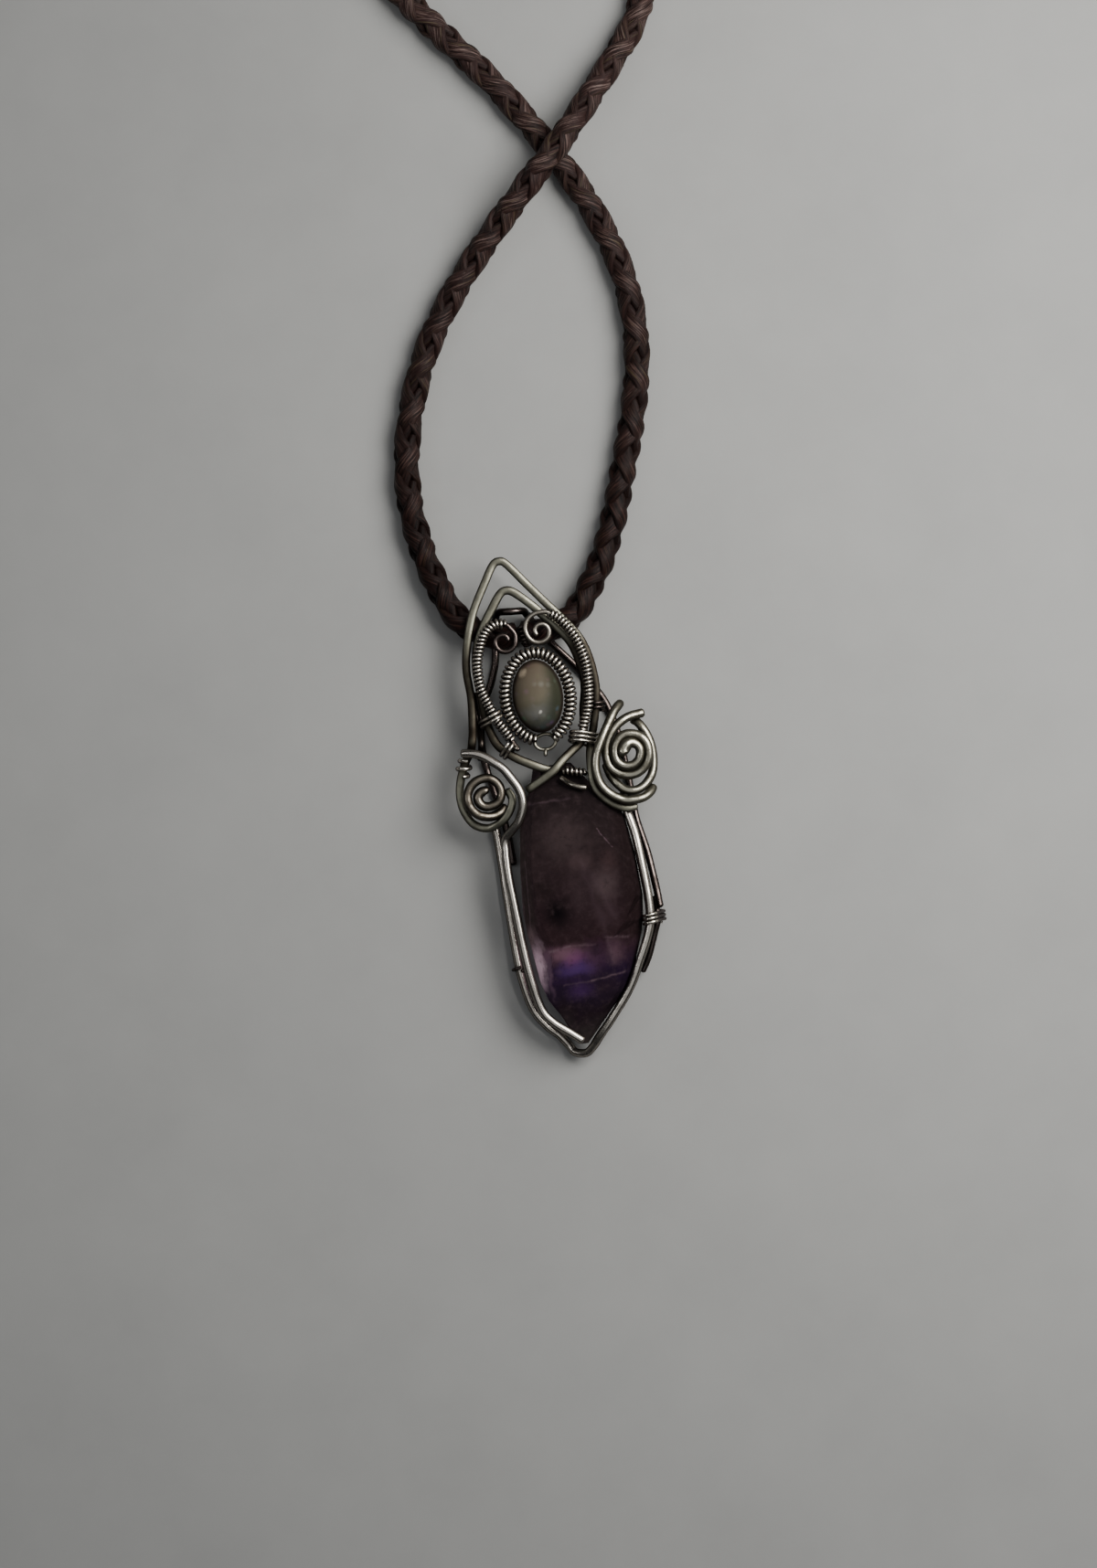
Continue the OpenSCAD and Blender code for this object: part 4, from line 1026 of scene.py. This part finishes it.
for y, left, front_from, front_to, right, back_from, back_to, front, back in CRYSTAL:
    side = back + SIDE_EDGE * (front - back)
    sections.append([(left, y, side), (back_from, y, back), (back_to, y, back), (right, y, side),
                     (front_to, y, front), (front_from, y, front)])
crystal = skin("amethyst_point", sections, smoky_amethyst, smooth=False)
shape = bmesh.new()
shape.from_mesh(crystal.data)
sharp = [e for e in shape.edges if e.calc_face_angle(0) > SHARP]
bmesh.ops.bevel(shape, geom=sharp, offset=WORN, segments=2, profile=0.6, affect="EDGES")
shape.to_mesh(crystal.data)
shape.free()
settle(crystal, "crystal")

# %% [markdown]
# ## Opal
# The opal is an oval cabochon: flat below, a girdle, and a smooth dome. Its colour is milky, with faint
# fire. Painted light is laid on it: a warm glow in the upper rim, and a milky glow round a small painted
# highlight near its foot, where the polished dome would mirror a light. The right side is greener and
# darker, partly the stone's own green and partly painted shade, and the dark rim is painted shade.

# %% Opal finish
def opal_finish():
    """Milky stone with soft colour from rim to rim, faint fire, and painted glow, highlight and shade."""
    material, tree, shader = new_finish("milky_opal")
    where = in_mm(tree)
    axes = parts(where)
    clouds = noise(where, 0.5, 3.0)
    along = axes[1] + axes[0] * -0.5 + spread(clouds, 0.3, 0.7, -0.7, 0.7)
    body = ramp(spread(along, 8.0, 16.6), [
        (0.0, (0.03, 0.034, 0.034)), (0.2, (0.048, 0.052, 0.047)), (0.36, (0.095, 0.09, 0.068)),
        (0.55, (0.13, 0.113, 0.08)), (0.8, (0.12, 0.098, 0.072)), (1.0, (0.095, 0.068, 0.05))])
    cells = add(tree, "ShaderNodeTexVoronoi", {"Vector": where, "Scale": 1.1})
    fire = spread(cells["Distance"], 0.1, 0.5, 0.08, 0.0) * spread(clouds, 0.45, 0.6)
    away = (where - (-0.81, 12.19, 0.0)) * (0.364, 0.25, 0.0)
    # A painted warm glow, a painted milky glow, green that is partly the stone's own and partly painted
    # shade, a painted highlight point, the fire, and a dark rim of painted shade
    body = layers(
        body,
        (cloud_at(where, (-2.2, 15.2), (0.45, 0.8)) * 0.8, (0.6, 0.5, 0.36)),
        (cloud_at(where, (-1.4, 10.5), (1.7, 0.8)) * 0.7, (0.15, 0.147, 0.138)),
        (ease(axes[0], -0.5, 1.2, 0.0, 0.9), (0.03, 0.033, 0.021)),
        (cloud_at(where, (-0.77, 10.4), (0.22, 0.22)), (0.55, 0.53, 0.48)),
        (fire, cells["Color"]),
        (ease(step("LENGTH", away), 0.84, 0.97, 0.0, 0.95), (0.02, 0.014, 0.011)))
    fill(shader, {
        "Base Color": body, "Roughness": spread(clouds, 0.3, 0.7, 0.3, 0.4), "Specular IOR Level": 0.03,
        "Subsurface Weight": 0.12, "Subsurface Radius": (0.9, 0.8, 0.7), "Subsurface Scale": 0.6 * MM})
    return material


milky_opal = opal_finish()

# %% Opal
OPAL_PROFILE = [(0, 0.86), (0.2, 1), (0.42, 0.97), (0.66, 0.84), (0.84, 0.62), (0.96, 0.34), (1, 0.1)]
OPAL_AT, GIRDLE, OPAL_W, OPAL_L, OPAL_H = (-0.95, 12.05), 5, 5.5, 8, 3
OPAL_SIDES = 64


def curve_point(a, b, c, d, s):
    """A point of the smooth curve through four values, at share s between the middle two."""
    return 0.5 * (2 * b + (c - a) * s + (2 * a - 5 * b + 4 * c - d) * s * s
                  + (3 * b - a - 3 * c + d) * s ** 3)


def smooth_chain(points, steps):
    """A smooth chain through all points, with this many steps between neighbours."""
    rows = [Vector(p) for p in points]
    last = len(rows) - 1
    done = []
    for i in range(last):
        four = rows[max(i - 1, 0)], rows[i], rows[i + 1], rows[min(i + 2, last)]
        done += [curve_point(*four, s / steps) for s in range(steps)]
    return done + [rows[-1]]


rings = []
for high, wide in smooth_chain(OPAL_PROFILE, 4):
    middle = (*OPAL_AT, GIRDLE + OPAL_H * high)
    rings.append(oval(middle, OPAL_W / 2 * wide, OPAL_L / 2 * wide, 0, 360, OPAL_SIDES)[:-1])
opal = skin("opal_cabochon", rings, milky_opal, smooth=True)
settle(opal, "opal")

# %% [markdown]
# ## Clasp
# A plain barrel clasp closes the loop. The photograph doesn't show it, so it is a simple turned barrel
# with a rim at each end and a fine line round the middle where it unscrews.

# %% Clasp
CLASP_AT, CLASP_SIDES = (5.6, 216.2, 2.1), 48
BARREL = [
    (-6, 1.62), (-5.92, 1.78), (-5.6, 1.9), (-5.1, 1.92), (-4.95, 1.7), (-4.75, 1.68), (-4.6, 1.86),
    (-3.6, 2.02), (-2, 2.09), (-0.2, 2.1), (-0.1, 1.98), (0.1, 1.98), (0.2, 2.1), (2, 2.09),
    (3.6, 2.02), (4.6, 1.86), (4.75, 1.68), (4.95, 1.7), (5.1, 1.92), (5.6, 1.9), (5.92, 1.78), (6, 1.62)]
rings = [[(CLASP_AT[0] + x, CLASP_AT[1] + r * math.cos(a), CLASP_AT[2] + r * math.sin(a))
          for a in (math.tau * i / CLASP_SIDES for i in range(CLASP_SIDES))] for x, r in BARREL]
clasp = skin("barrel_clasp", rings, silver["bright"], smooth=True)
settle(clasp, "clasp")

# %% [markdown]

# %% [markdown]
# ## Floor and light
# The pendant lies on a plain pale floor. A small window stands close by to the upper right, as in the
# photograph, and throws most of the light. A wide dim ceiling fills the shadows, a far window on the left
# adds a small glint, and the rest of the room is nearly dark.

# %% Floor
HALF = 0.9
floor_mesh = bpy.data.meshes.new("floor")
corners = [(-HALF, -HALF, 0), (HALF, -HALF, 0), (HALF, HALF, 0), (-HALF, HALF, 0)]
floor_mesh.from_pydata(corners, [], [(0, 1, 2, 3)])
floor = put_in("floor", floor_mesh)
floor_finish, tree, shader = new_finish("pale_floor")
mottle = noise(in_mm(tree), 0.06, 5.0, 0.65)
fill(shader, {"Base Color": layers((0.33, 0.33, 0.325), (mottle, (0.41, 0.41, 0.4))), "Roughness": 0.85})
floor_mesh.materials.append(floor_finish)

# %% Lights
def soft_light(name, at, aim, size, power, colour, wide=180):
    """A square soft light at a point, turned to another point. wide is the angle it throws light over."""
    data = bpy.data.lights.new(name, "AREA")
    data.shape, data.size, data.energy, data.color = "SQUARE", size, power, colour
    data.spread = math.radians(wide)
    lamp = put_in(name, data)
    lamp.location = at
    lamp.rotation_euler = (Vector(aim) - Vector(at)).to_track_quat("-Z", "Y").to_euler()


soft_light("window", (0.16, 0.08, 0.18), (0.08, 0.025, 0), 0.18, 0.43, (1.0, 0.985, 0.95), 120)
soft_light("ceiling", (0.06, 0.08, 0.5), (0, 0.03, 0), 0.9, 1.0, (0.96, 0.98, 1.0))
soft_light("far window", (-0.3, 0.08, 0.32), (0, 0, 0), 0.09, 0.09, (0.97, 0.98, 1.0))
world = bpy.data.worlds.new("dim room")
world.use_nodes = True
fill(world.node_tree.nodes["Background"], {"Color": (0.5, 0.51, 0.52, 1), "Strength": 0.05})
bpy.context.scene.world = world
